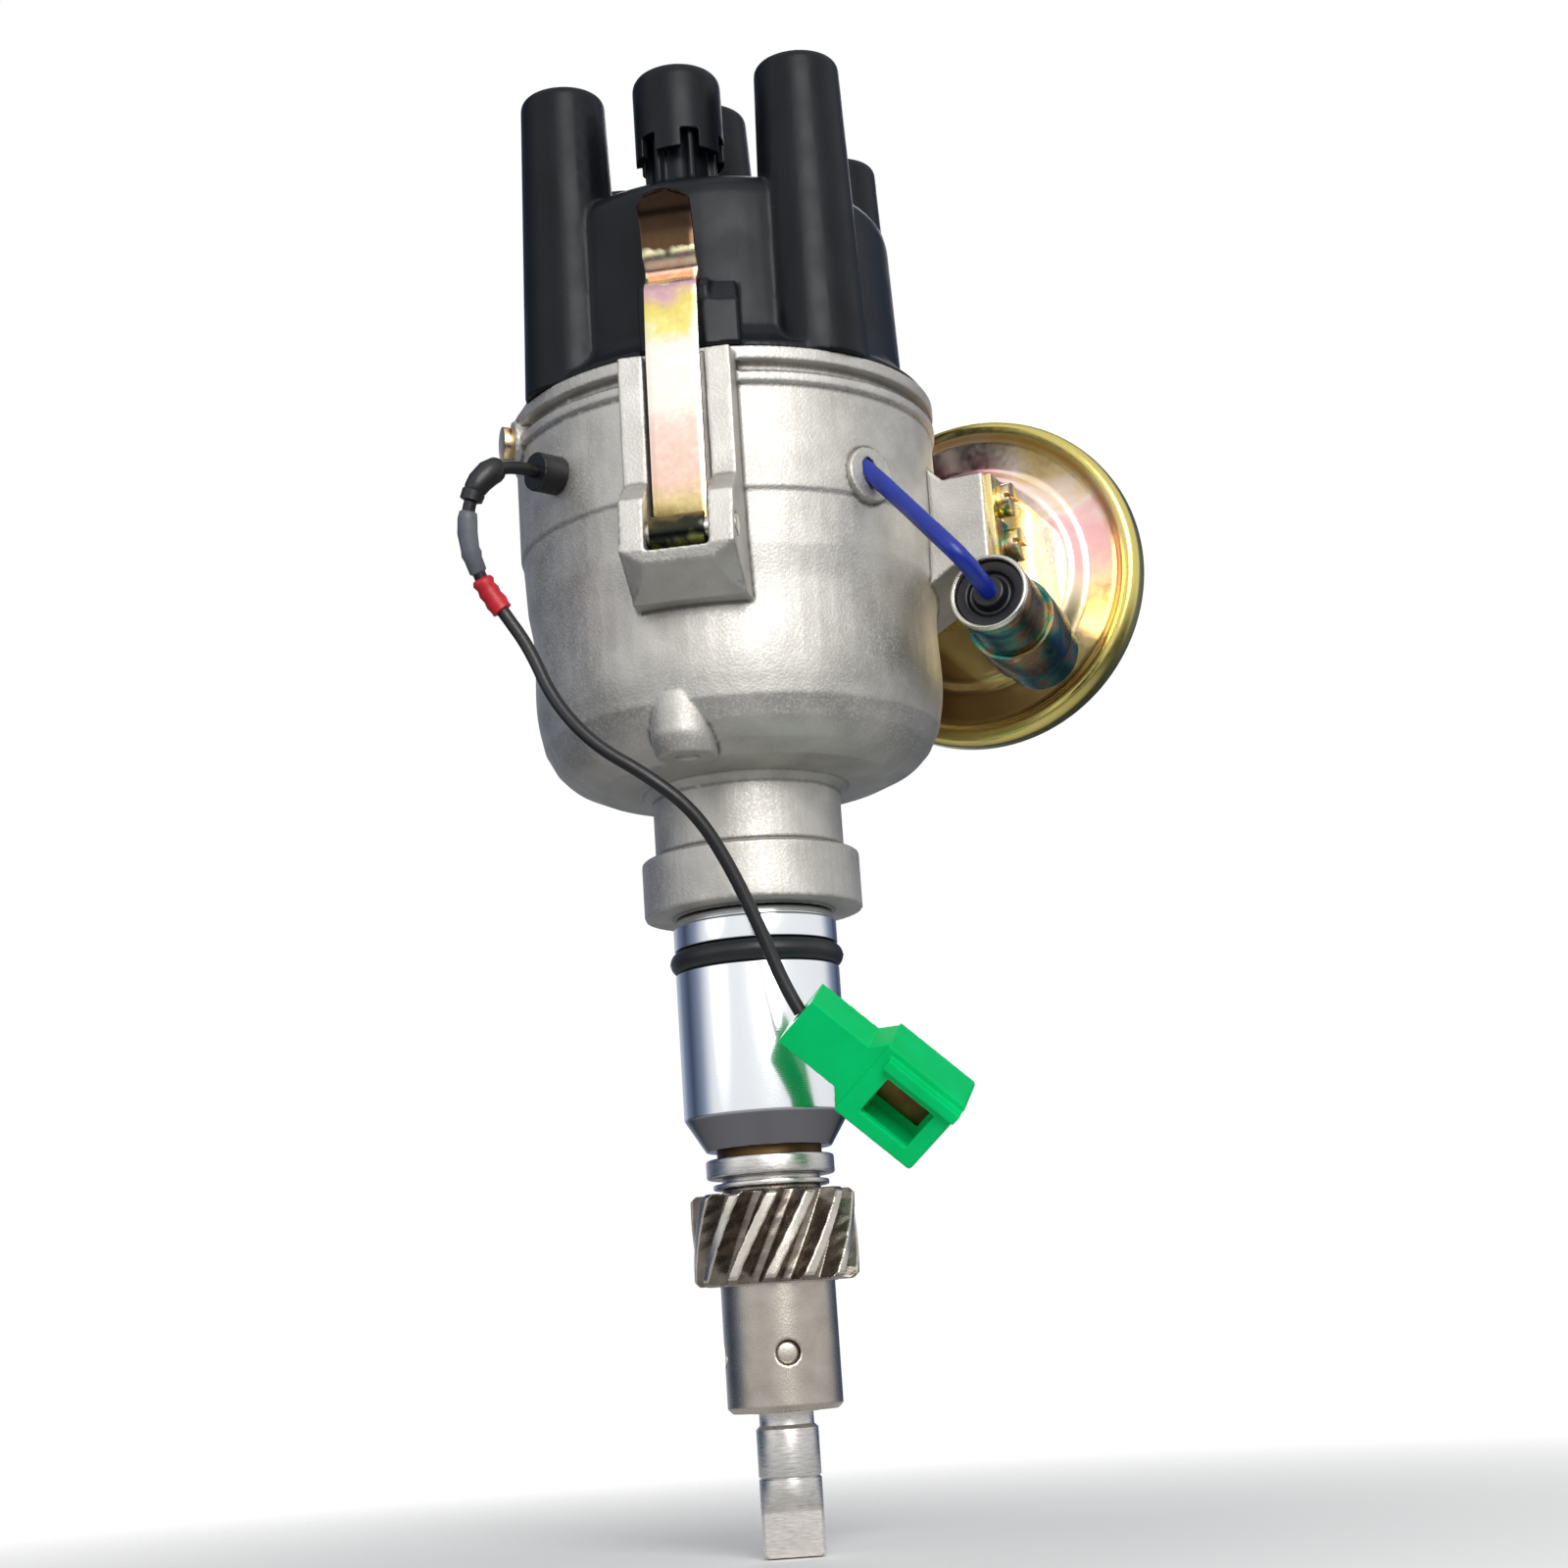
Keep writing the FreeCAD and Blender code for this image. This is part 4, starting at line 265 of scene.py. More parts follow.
def mesh_piece(name, points, faces):
    """A piece from its points and faces, all faces turned outwards."""
    mesh = bpy.data.meshes.new(name)
    mesh.from_pydata(points, [], faces)
    skin = bmesh.new()
    skin.from_mesh(mesh)
    bmesh.ops.recalc_face_normals(skin, faces=skin.faces)
    skin.to_mesh(mesh)
    skin.free()
    return linked(name, mesh)


def shape_of(thing):
    """The mesh that an object shows, with its modifiers or its curve's thickness."""
    bpy.context.view_layer.update()
    shown = thing.evaluated_get(bpy.context.evaluated_depsgraph_get())
    return bpy.data.meshes.new_from_object(shown)


def mesh_of(curve):
    """A curve's shape as a mesh piece of the same name."""
    mesh = shape_of(curve)
    name = curve.name
    bpy.data.objects.remove(curve)
    return linked(name, mesh)


def settled(piece):
    """Applies a piece's modifiers to its mesh."""
    mesh = shape_of(piece)
    piece.modifiers.clear()
    piece.data = mesh


def smooth(piece, angle=35):
    """Smooth shading, with edges sharper than the angle kept crisp."""
    piece.data.shade_smooth()
    piece.data.set_sharp_from_angle(angle=radians(angle))


def from_mm(outline):
    """An outline given in millimetres, in metres."""
    return [(r * MM, z * MM) for r, z in outline]


def eased(outline, size, closed=True):
    """The outline with each corner rounded off over up to that size. An open one keeps its two ends."""
    count = len(outline)
    made = []
    for i, corner in enumerate(outline):
        if not closed and i in (0, count - 1):
            made.append(corner)
            continue
        corner = Vector(corner)
        before = Vector(outline[i - 1]) - corner
        after = Vector(outline[(i + 1) % count]) - corner
        start = corner + before.normalized() * min(size, before.length * EASE_SHARE)
        end = corner + after.normalized() * min(size, after.length * EASE_SHARE)
        for step in range(EASE_STEPS + 1):
            t = step / EASE_STEPS
            made.append(tuple(start * (1 - t) ** 2 + corner * 2 * t * (1 - t) + end * t * t))
    return made


def lengths_along(line):
    """How far along a line each of its points lies."""
    reach = [0.0]
    for a, b in zip(line, line[1:]):
        reach.append(reach[-1] + (Vector(b) - Vector(a)).length)
    return reach


def tube_faces(rows, count):
    """Faces of a tube with that many rows of points round it, closed at both ends."""
    faces = []
    for row in range(rows - 1):
        for k in range(count):
            a = row * count + k
            b = row * count + (k + 1) % count
            faces.append((a, b, b + count, a + count))
    faces.append(tuple(range(count)))
    faces.append(tuple(range((rows - 1) * count, rows * count)))
    return faces


def lathe(name, outline, place=None, sides=SIDES):
    """A turned piece from its (radius, height) outline, which may start and end on the axis."""
    points = []
    rows = []
    for r, z in outline:
        if r < ON_AXIS:
            rows.append([len(points)])
            points.append((0, 0, z))
            continue
        rows.append(list(range(len(points), len(points) + sides)))
        for i in range(sides):
            points.append((r * cos(2 * pi * i / sides), r * sin(2 * pi * i / sides), z))
    faces = []
    pairs = list(zip(rows, rows[1:]))
    if len(rows[0]) > 1:
        pairs.append((rows[-1], rows[0]))
    for low, high in pairs:
        for i in range(sides):
            j = (i + 1) % sides
            if len(low) > 1 and len(high) > 1:
                faces.append((low[i], low[j], high[j], high[i]))
            elif len(low) > 1:
                faces.append((low[i], low[j], high[0]))
            elif len(high) > 1:
                faces.append((low[0], high[j], high[i]))
    piece = mesh_piece(name, points, faces)
    if place:
        piece.data.transform(place)
    smooth(piece)
    return piece


def copy_of(node, name):
    """A copy of a CAD node's mesh as one closed skin."""
    mesh = frame["nodes"][node].data.copy()
    skin = bmesh.new()
    skin.from_mesh(mesh)
    bmesh.ops.remove_doubles(skin, verts=skin.verts, dist=WELD)
    skin.to_mesh(mesh)
    skin.free()
    for layer in list(mesh.attributes):
        if layer.name == "custom_normal":
            mesh.attributes.remove(layer)
    return linked(name, mesh)


def moulded(piece, grain, rounds):
    """Eases every edge of a closed piece, as a mould leaves them: reskinned at that grain, then smoothed."""
    skin = piece.modifiers.new("skin", "REMESH")
    skin.mode = "VOXEL"
    skin.voxel_size = grain
    ease = piece.modifiers.new("ease", "SMOOTH")
    ease.factor = 0.5
    ease.iterations = rounds
    settled(piece)
    piece.data.shade_smooth()
    return piece


def broken_edges(piece, width):
    """Breaks the sharp edges of a machined or pressed piece by a small round."""
    flat = piece.modifiers.new("flat", "DECIMATE")
    flat.decimate_type = "DISSOLVE"
    flat.angle_limit = radians(0.5)
    edge = piece.modifiers.new("edge", "BEVEL")
    edge.width = width
    edge.segments = 2
    edge.limit_method = "ANGLE"
    edge.angle_limit = radians(40)
    edge.harden_normals = False
    settled(piece)
    smooth(piece, 30)
    return piece


def above(piece, z):
    """Cuts a closed piece off below that height and closes the cut."""
    skin = bmesh.new()
    skin.from_mesh(piece.data)
    parts = skin.verts[:] + skin.edges[:] + skin.faces[:]
    cut = bmesh.ops.bisect_plane(skin, geom=parts, plane_co=(0, 0, z), plane_no=(0, 0, 1), clear_inner=True)
    edges = [e for e in cut["geom_cut"] if isinstance(e, bmesh.types.BMEdge)]
    bmesh.ops.triangle_fill(skin, use_beauty=True, edges=edges)
    skin.to_mesh(piece.data)
    skin.free()
    return piece


def stand_for(piece, slot, *nodes):
    """The piece takes the place, the body and the finish of those CAD nodes."""
    piece.data.materials.clear()
    piece.data.materials.append(FINISH[slot])
    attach(piece, frame["nodes"][nodes[0]]["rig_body"])
    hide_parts(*nodes)
    return piece


def worked(node, slot, width=EDGE):
    """A machined or pressed piece: the CAD node's own shape with its edges broken."""
    stand_for(broken_edges(copy_of(node, node + "_piece"), width), slot, node)


def can_place():
    """The can's own frame: X out from the shaft, Z back along its axis."""
    out = Vector((cos(CAN_TURN), -sin(CAN_TURN), 0))
    back = Vector((sin(CAN_TURN), cos(CAN_TURN), 0))
    at = out * CAN_D + back * CAN_C + Vector((0, 0, CAN_Z))
    turn = Matrix((out, Vector((0, 0, -1)), back)).transposed()
    return Matrix.Translation(at) @ turn.to_4x4()


# helpers for materials

def linear(shade):
    """An sRGB hex colour as the linear values that Blender takes."""
    made = []
    for i in (1, 3, 5):
        part = int(shade[i:i + 2], 16) / 255
        made.append(part / 12.92 if part <= 0.04045 else ((part + 0.055) / 1.055) ** 2.4)
    return (*made, 1.0)


def add(tree, kind, settings=None, values=None, links=None, stops=None):
    """Adds one node: its settings, its sockets' values, what links into them, and a ramp's stops."""
    node = tree.nodes.new(kind)
    for key, value in (settings or {}).items():
        setattr(node, key, value)
    for key, value in (values or {}).items():
        node.inputs[key].default_value = value
    for key, source in (links or {}).items():
        tree.links.new(source, node.inputs[key])
    if stops:
        marks = node.color_ramp.elements
        while len(marks) < len(stops):
            marks.new(0.5)
        for mark, (place, shade) in zip(marks, stops):
            mark.position = place
            mark.color = linear(shade)
    return node


def noise(tree, where, scale, detail, **more):
    """A pattern of soft clouds in space."""
    values = {"Scale": scale, "Detail": detail, **more}
    return add(tree, "ShaderNodeTexNoise", values=values, links={"Vector": where}).outputs["Fac"]


def between(tree, source, start, end, low=0.0, high=1.0):
    """A value that runs from low to high while its source runs from start to end."""
    values = {1: start, 2: end, 3: low, 4: high}
    return add(tree, "ShaderNodeMapRange", values=values, links={0: source}).outputs[0]


def tinted(tree, source, stops):
    """The colour that a value has between those stops."""
    return add(tree, "ShaderNodeValToRGB", links={"Fac": source}, stops=stops).outputs["Color"]


def mixed(tree, share, first, second):
    """A share of the second colour laid over the first. Each is a hex shade or another node's colour."""
    values = {}
    links = {0: share}
    for key, colour in ((6, first), (7, second)):
        if isinstance(colour, str):
            values[key] = linear(colour)
        else:
            links[key] = colour
    return add(tree, "ShaderNodeMix", {"data_type": "RGBA"}, values, links).outputs[2]


def height(tree, where):
    """How high each point lies."""
    return add(tree, "ShaderNodeSeparateXYZ", links={0: where}).outputs["Z"]


def swayed_height(tree, where, cloud, sway):
    """How high each point lies, pushed up unevenly by a cloud pattern, by up to that much."""
    links = {0: cloud, 2: height(tree, where)}
    return add(tree, "ShaderNodeMath", {"operation": "MULTIPLY_ADD"}, {1: sway}, links).outputs[0]


def base(name, shade, roughness, metallic=0.0):
    """A new material: (itself, its nodes, its shader, the piece's own coordinates in metres)."""
    finish = bpy.data.materials.new(name)
    finish.use_nodes = True
    tree = finish.node_tree
    shader = tree.nodes["Principled BSDF"]
    shader.inputs["Base Color"].default_value = linear(shade)
    shader.inputs["Roughness"].default_value = roughness
    shader.inputs["Metallic"].default_value = metallic
    where = add(tree, "ShaderNodeTexCoord").outputs["Object"]
    return finish, tree, shader, where


def coloured(tree, shader, colour):
    """The shader takes another node's colour."""
    tree.links.new(colour, shader.inputs["Base Color"])


def bumped(tree, shader, pattern, depth):
    """The surface rises with a pattern, by up to that depth."""
    bump = add(tree, "ShaderNodeBump", values={"Distance": depth}, links={"Height": pattern})
    tree.links.new(bump.outputs["Normal"], shader.inputs["Normal"])


def shined(tree, shader, pattern, low, high):
    """Roughness that follows a pattern between two values."""
    gloss = between(tree, pattern, start=0.35, end=0.65, low=low, high=high)
    tree.links.new(gloss, shader.inputs["Roughness"])


def clouded(tree, shader, where, shades, patch):
    """Colour that drifts softly between two shades over patches of that size."""
    cloud = noise(tree, where, scale=1 / patch, detail=4.0)
    tint = tinted(tree, cloud, list(zip(CLOUD_MARKS, shades)))
    coloured(tree, shader, tint)
    return tint


def gritted(tree, shader, where, grit, depth):
    """A fine grit in the surface, grains of that size and depth."""
    grain = noise(tree, where, scale=1 / grit, detail=3.0)
    bumped(tree, shader, grain, depth)
    return grain


def filmed(tree, shader, where, low, high):
    """The faint unevenness of a chromate film, its roughness between two values."""
    grain = gritted(tree, shader, where, FILM_GRIT, FILM_DEPTH)
    shined(tree, shader, grain, low, high)


def turned_rings(tree, shader, where, pitch, depth):
    """Fine tool rings along the axis, drawn a little coarser than real so that they show."""
    rings = add(
        tree, "ShaderNodeTexWave", {"wave_type": "BANDS", "bands_direction": "Z"},
        {"Scale": BAND_PERIOD / pitch, "Distortion": 0.4, "Detail": 2.0}, {"Vector": where},
    ).outputs["Fac"]
    bumped(tree, shader, rings, depth)
    return rings


# finishes

def cast_aluminium():
    """Die-cast aluminium, tumbled: matte grey with faint clouds, a bright grit, and painted shade darkening
    its grooves.
    """
    finish, tree, shader, where = base("cast_aluminium_tumbled", "#BFBCB6", 0.56, 1.0)
    tint = clouded(tree, shader, where, ("#B2AFA9", "#C6C3BD"), patch=0.007)
    grain = gritted(tree, shader, where, grit=0.0005, depth=0.00007)
    speck = between(tree, grain, start=0.52, end=0.72, high=0.5)
    lit = mixed(tree, speck, tint, "#D6D4CE")
    # painted shade: the concave places, grooves and corners, are darkened towards #5B5854
    hollow = add(tree, "ShaderNodeNewGeometry").outputs["Pointiness"]
    painted_groove_shade = between(tree, hollow, start=0.47, end=0.495, low=0.75, high=0.0)
    coloured(tree, shader, mixed(tree, painted_groove_shade, lit, "#5B5854"))
    shined(tree, shader, grain, low=0.50, high=0.64)
    return finish


def turned_aluminium():
    """Aluminium turned bright on a lathe: fine rings, dark grey on the nose, and painted shade under the
    collar.
    """
    finish, tree, shader, where = base("aluminium_turned_bright", "#E9ECEF", 0.16, 1.0)
    rings = turned_rings(tree, shader, where, pitch=0.0004, depth=0.000002)
    shined(tree, shader, rings, low=0.12, high=0.20)
    z = height(tree, where)
    nose = between(tree, z, *NOSE_DARK, low=1.0, high=0.0)
    tint = mixed(tree, nose, "#E9ECEF", "#77757A")
    # painted shade: dark grey just under the collar, in the relief's narrow gap
    painted_collar_shade = between(tree, z, *COLLAR_SHADE_FADE)
    coloured(tree, shader, mixed(tree, painted_collar_shade, tint, "#2B2A2C"))
    round_way = add(tree, "ShaderNodeTangent", {"direction_type": "RADIAL", "axis": "Z"})
    tree.links.new(round_way.outputs[0], shader.inputs["Tangent"])
    shader.inputs["Anisotropic"].default_value = 0.5
    return finish


def plain(name, shades, roughness, metallic, spread, patch, grit, depth):
    """A finish with faint clouds in its colour and a fine grain, its roughness spread about one value."""
    finish, tree, shader, where = base(name, shades[0], roughness, metallic)
    clouded(tree, shader, where, shades, patch)
    grain = gritted(tree, shader, where, grit, depth)
    less, more = spread
    shined(tree, shader, grain, roughness - less, roughness + more)
    return finish


def plain_metal(name, shades, roughness):
    """Worked metal."""
    return plain(name, shades, roughness, 1.0, (0.06, 0.08), patch=0.004, grit=0.0003, depth=0.00001)


def plain_moulding(name, shades, roughness, patch=0.006, grit=0.0004, depth=0.00001):
    """Moulded plastic, rubber or felt with its own skin."""
    return plain(name, shades, roughness, 0.0, (0.05, 0.07), patch, grit, depth)


def shaft_steel():
    """Steel ground round and bright; the tang's flats are milled, pale with slanting cutter marks."""
    finish, tree, shader, where = base("steel_ground", "#A9A6A2", 0.28, 1.0)
    flats = between(tree, height(tree, where), *TANG_FADE, low=1.0, high=0.0)
    slant = add(
        tree, "ShaderNodeMapping",
        values={"Rotation": (0, radians(14), 0), "Scale": (1.0, 1.0, 9.0)}, links={0: where},
    ).outputs[0]
    marks = noise(tree, slant, scale=420.0, detail=5.0, Roughness=0.7)
    ground = tinted(tree, marks, [(0.3, "#B0ADAA"), (0.7, "#DCD9D5")])
    milled = tinted(tree, marks, [(0.35, "#D6CFC9"), (0.62, "#F4EEE9")])
    coloured(tree, shader, mixed(tree, flats, ground, milled))
    bumped(tree, shader, marks, depth=0.00003)
    shined(tree, shader, marks, low=0.24, high=0.36)
    return finish


def gear_steel():
    """Hobbed and hardened steel: brown-black flanks, lands ground bright, and a satin sandy hub."""
    finish, tree, shader, where = base("steel_hobbed_hardened", "#6A625A", 0.34, 1.0)
    across = add(tree, "ShaderNodeVectorMath", {"operation": "MULTIPLY"}, {1: (1, 1, 0)}, {0: where})
    radius = add(tree, "ShaderNodeVectorMath", {"operation": "LENGTH"}, links={0: across.outputs[0]})
    land = between(tree, radius.outputs["Value"], GEAR_LAND_R, GEAR_LAND_R + GEAR_FADE)
    z = height(tree, where)
    hub = between(tree, z, GEAR_BOTTOM - GEAR_FADE, GEAR_BOTTOM + GEAR_FADE, low=1.0, high=0.0)
    cloud = noise(tree, where, scale=260.0, detail=5.0)
    flank = tinted(tree, cloud, [(0.3, "#6A625B"), (0.7, "#948B80")])
    crest = tinted(tree, cloud, [(0.3, "#B9B2A6"), (0.7, "#DDD6CA")])
    satin = tinted(tree, cloud, [(0.3, "#A69D93"), (0.7, "#B8B0A6")])
    teeth = mixed(tree, land, flank, crest)
    coloured(tree, shader, mixed(tree, hub, teeth, satin))
    grain = gritted(tree, shader, where, grit=0.0003, depth=0.00002)
    shined(tree, shader, grain, low=0.24, high=0.32)
    return finish


def chromate(name, stops, patch, roughness):
    """Chromate film over bright zinc: its tint shifts with the film's thickness in soft clouds."""
    finish, tree, shader, where = base(name, stops[0][1], roughness, 1.0)
    cloud = noise(tree, where, scale=1 / patch, detail=3.0, Roughness=0.45, Distortion=0.8)
    coloured(tree, shader, tinted(tree, cloud, stops))
    filmed(tree, shader, where, roughness - 0.04, roughness + 0.06)
    return finish


def yellow_zinc():
    """Yellow chromate on pressed steel: gold with pink, olive and pale clouds."""
    stops = [
        (0.30, "#CFAA54"),
        (0.42, "#ECD888"),
        (0.50, "#F0DCA0"),
        (0.57, "#E4BCA0"),
        (0.64, "#CDBE74"),
        (0.72, "#E6D6B0"),
    ]
    return chromate("zinc_yellow_chromate", stops, patch=0.016, roughness=0.24)


def can_zinc():
    """The can's yellow chromate: cream, pink above and gold at the seam, with painted reflection of the dark
    ground as brown low on the face.
    """
    finish, tree, shader, where = base("zinc_yellow_chromate_can_painted_reflection", "#F2DF9E", 0.22, 1.0)
    sway = 0.050
    cloud = noise(tree, where, scale=1 / 0.020, detail=2.0, Distortion=0.8)
    low = CAN_Z - CAN_R + sway / 2
    along = between(tree, swayed_height(tree, where, cloud, sway), low, low + 2 * CAN_R)
    # from the bottom up: the two brown stops are painted reflection of the dark ground below, then the
    # chromate's cream and pink
    stops = [
        (0.10, "#8C7146"),
        (0.24, "#A98B58"),
        (0.32, "#E4CF8C"),
        (0.40, "#F6E7AE"),
        (0.48, "#FBE3C2"),
        (0.55, "#FFC9C4"),
        (0.66, "#FFC4C2"),
        (0.76, "#FFE9DC"),
        (0.90, "#EBCB84"),
    ]
    face = tinted(tree, along, stops)
    centre = tuple(can_place().translation)
    off = add(tree, "ShaderNodeVectorMath", {"operation": "DISTANCE"}, {1: centre}, {0: where})
    seam = between(tree, off.outputs["Value"], *CAN_SEAM)
    coloured(tree, shader, mixed(tree, seam, face, "#D6C674"))
    filmed(tree, shader, where, low=0.18, high=0.26)
    return finish


def clip_zinc():
    """The clip's chromate: a shank from cream and pink to yellow and lilac, and a dark brown tab; painted
    shade in a dark band low on the loop, and painted highlights in pale bands across the fold.
    """
    finish, tree, shader, where = base("zinc_yellow_chromate_clip_painted_light", "#E8D9A8", 0.22, 1.0)
    cloud = noise(tree, where, scale=1 / 0.007, detail=3.0, Distortion=0.6)
    along = between(tree, swayed_height(tree, where, cloud, 0.010), CLIP_PIN_Z, CLIP_PIN_Z + CLIP_RISE)
    # by height: the dark stops at 0.045 and 0.085 are painted shade on the loop, and the pale stops at 0.795
    # and 0.85 are painted highlights on the fold's ridge
    stops = [
        (0.02, "#9FA45A"),
        (0.045, "#2E332E"),
        (0.085, "#3A3A2E"),
        (0.11, "#8E7C4C"),
        (0.16, "#D9C48C"),
        (0.22, "#F0CBBA"),
        (0.34, "#F3D3C4"),
        (0.44, "#FBF3E6"),
        (0.60, "#FDF6EA"),
        (0.65, "#F8EA8E"),
        (0.70, "#EFD97C"),
        (0.74, "#DDB2B6"),
        (0.77, "#C9A0AC"),
        (0.795, "#FCF4B4"),
        (0.815, "#FFC4AC"),
        (0.835, "#FFDCC0"),
        (0.85, "#FFF6C8"),
        (0.866, "#5A4532"),
        (1.0, "#46362C"),
    ]
    coloured(tree, shader, tinted(tree, along, stops))
    filmed(tree, shader, where, low=0.20, high=0.28)
    return finish


def condenser_zinc():
    """Drawn can under a thick chromate: teal and blue-green with brown patches."""
    stops = [
        (0.32, "#1F4E74"),
        (0.42, "#2E6B68"),
        (0.50, "#4E8470"),
        (0.56, "#8A7552"),
        (0.64, "#7A6046"),
        (0.72, "#B6A270"),
    ]
    return chromate("zinc_thick_chromate", stops, patch=0.008, roughness=0.26)


def cap_phenolic():
    """Phenolic moulding, satin black: a faint sheen with flow marks too soft to feel."""
    finish, tree, shader, where = base("phenolic_moulded_satin", "#111318", 0.38)
    clouded(tree, shader, where, ("#0E1014", "#14171C"), patch=0.012)
    flow = noise(tree, where, scale=160.0, detail=3.0)
    shined(tree, shader, flow, low=0.32, high=0.42)
    skin = noise(tree, where, scale=2500.0, detail=2.0)
    bumped(tree, shader, skin, depth=0.000012)
    shader.inputs["Specular IOR Level"].default_value = 0.18
    return finish


def green_nylon():
    """Nylon moulding, deep bright green: light sinks in a little and the skin shines softly."""
    finish, tree, shader, where = base("nylon_moulded", "#00CC6E", 0.32)
    clouded(tree, shader, where, ("#00C668", "#00D276"), patch=0.010)
    gritted(tree, shader, where, grit=0.0012, depth=0.00002)
    shader.inputs["Specular IOR Level"].default_value = 0.07
    shader.inputs["Subsurface Weight"].default_value = 0.12
    shader.inputs["Subsurface Scale"].default_value = 0.002
    shader.inputs["Subsurface Radius"].default_value = (0.1, 1.0, 0.5)
    return finish


FINISH = {
    "cast_aluminium": cast_aluminium(),
    "turned_aluminium": turned_aluminium(),
    "bronze": plain_metal("bronze_sintered_oiled", ("#4E3C26", "#665034"), 0.5),
    "seal_rubber": plain_moulding("nitrile_moulded", ("#151618", "#1D1E20"), 0.42),
    "shaft_steel": shaft_steel(),
    "gear_steel": gear_steel(),
    "governor_steel": plain_metal("steel_pressed", ("#7E7A75", "#918D88"), 0.4),
    "spring_steel": plain_metal("steel_drawn_wire", ("#8C8B8A", "#A09F9E"), 0.3),
    "felt": plain_moulding("felt_oiled", ("#A89C7A", "#C9BF9F"), 0.9, 0.002, 0.0003, 0.0001),
    "rotor_plastic": plain_moulding("phenolic_moulded", ("#1E1C1B", "#292624"), 0.4),
    "brass": plain_metal("brass_stamped", ("#C29A4B", "#D6B266"), 0.3),
    # dark brass: painted shade for the blade inside the connector's window
    "brass_painted_shade": plain_metal("brass_stamped_painted_shade", ("#4A3C22", "#6A5630"), 0.4),
    "plated_steel": plain_metal("steel_zinc_plated", ("#C4C1B8", "#DAD7CF"), 0.26),
    "fibre": plain_moulding("fibre_laminated", ("#7A4B28", "#966238"), 0.6),
    "yellow_zinc": yellow_zinc(),
    "can_zinc": can_zinc(),
    "clip_zinc": clip_zinc(),
    "condenser_zinc": condenser_zinc(),
    "bright_tin": plain_metal("tin_rolled_bright", ("#C9C4B4", "#E2DED2"), 0.24),
    "seal_black": plain_moulding("ebonite_moulded", ("#0C0D0F", "#141519"), 0.34),
    "blue_insulation": plain_moulding("vinyl_blue", ("#062488", "#0A2C9C"), 0.34),
    "cap_phenolic": cap_phenolic(),
    "carbon": plain_moulding("carbon_pressed", ("#1B1B1C", "#262627"), 0.55),
    "black_insulation": plain_moulding("vinyl_black", ("#121213", "#1A1A1C"), 0.38),
    "grey_sleeve": plain_moulding("sleeve_grey", ("#55585E", "#6C7077"), 0.5),
    "red_sleeve": plain_moulding("sleeve_red", ("#B0151F", "#CC2030"), 0.42),
    "green_nylon": green_nylon(),
}


def dress_nodes():
    """Every CAD node takes the finish of its slot."""
    for part in frame["record"]["subparts"]:
        node = frame["nodes"][part["node"]]
        for slot in node.material_slots:
            slot.material = FINISH[part["material_slot"]]


# camera and leads

def photo_camera():
    """The camera where the photograph's stood, low in front and looking up, a little rolled."""
    data = bpy.data.cameras.new("camera")
    data.lens = CAMERA_LENS
    data.sensor_width = CAMERA_SENSOR
    data.clip_start = 0.01
    camera = linked("camera", data)
    level = Vector((cos(CAMERA_YAW), -sin(CAMERA_YAW), 0))
    ahead = cos(CAMERA_PITCH)
    forward = Vector((sin(CAMERA_YAW) * ahead, cos(CAMERA_YAW) * ahead, sin(CAMERA_PITCH)))
    up = level.cross(forward)
    right = level * cos(CAMERA_ROLL) + up * sin(CAMERA_ROLL)
    top = up * cos(CAMERA_ROLL) - level * sin(CAMERA_ROLL)
    turn = Matrix((right, top, -forward)).transposed()
    camera.matrix_world = Matrix.Translation(CAMERA_AT) @ turn.to_4x4()
    bpy.context.scene.camera = camera


def lead_curve(name, points, radius):
    """A round lead on one smooth line by its route's points."""
    data = bpy.data.curves.new(name, "CURVE")
    data.dimensions = "3D"
    data.resolution_u = 12
    data.bevel_depth = radius
    data.bevel_resolution = 6
    data.use_fill_caps = True
    spline = data.splines.new("NURBS")
    spline.points.add(len(points) - 1)
    for point, place in zip(spline.points, points):
        point.co = (*place, 1.0)
    spline.order_u = 3
    spline.use_endpoint_u = True
    return linked(name, data)


def centre_line(lead):
    """Points along a lead's own line."""
    bare = lead.copy()
    bare.data = lead.data.copy()
    bare.data.bevel_depth = 0
    bare.data.resolution_u = 24
    bpy.context.scene.collection.objects.link(bare)
    mesh = shape_of(bare)
    line = [v.co.copy() for v in mesh.vertices]
    bpy.data.objects.remove(bare)
    bpy.data.meshes.remove(mesh)
    return line


def sleeve_on(name, line, span, outline):
    """A sleeve along part of a lead's line, from (share of its length, radius) pairs."""
    near = [min(range(len(line)), key=lambda i: (line[i] - Vector(p)).length) for p in span]
    part = line[near[0]:near[1] + 1]
    reach = lengths_along(part)
    points = []
    for share, radius in outline:
        s = share * reach[-1]
        i = max(k for k in range(len(part) - 1) if reach[k] <= s + ROUNDING)
        way = (part[i + 1] - part[i]).normalized()
        middle = part[i] + way * (s - reach[i])
        side = way.cross(Vector((0, 1, 0))).normalized()
        other = way.cross(side)
        for k in range(SLEEVE_SIDES):
            turn = 2 * pi * k / SLEEVE_SIDES
            points.append(middle + (side * cos(turn) + other * sin(turn)) * radius)
    piece = mesh_piece(name, points, tube_faces(len(outline), SLEEVE_SIDES))
    smooth(piece, 50)
    return piece


def plug_turn():
    """The connector hangs turned about the lead's end: its upper face and its mouth for the lead show."""
    along = Matrix.Rotation(PLUG_ROLL, 4, PLUG_AXIS)
    away = Matrix.Rotation(PLUG_YAW, 4, PLUG_UP)
    end = Matrix.Translation(Vector(LEAD_POINTS[-1]))
    return end @ away @ along @ end.inverted()


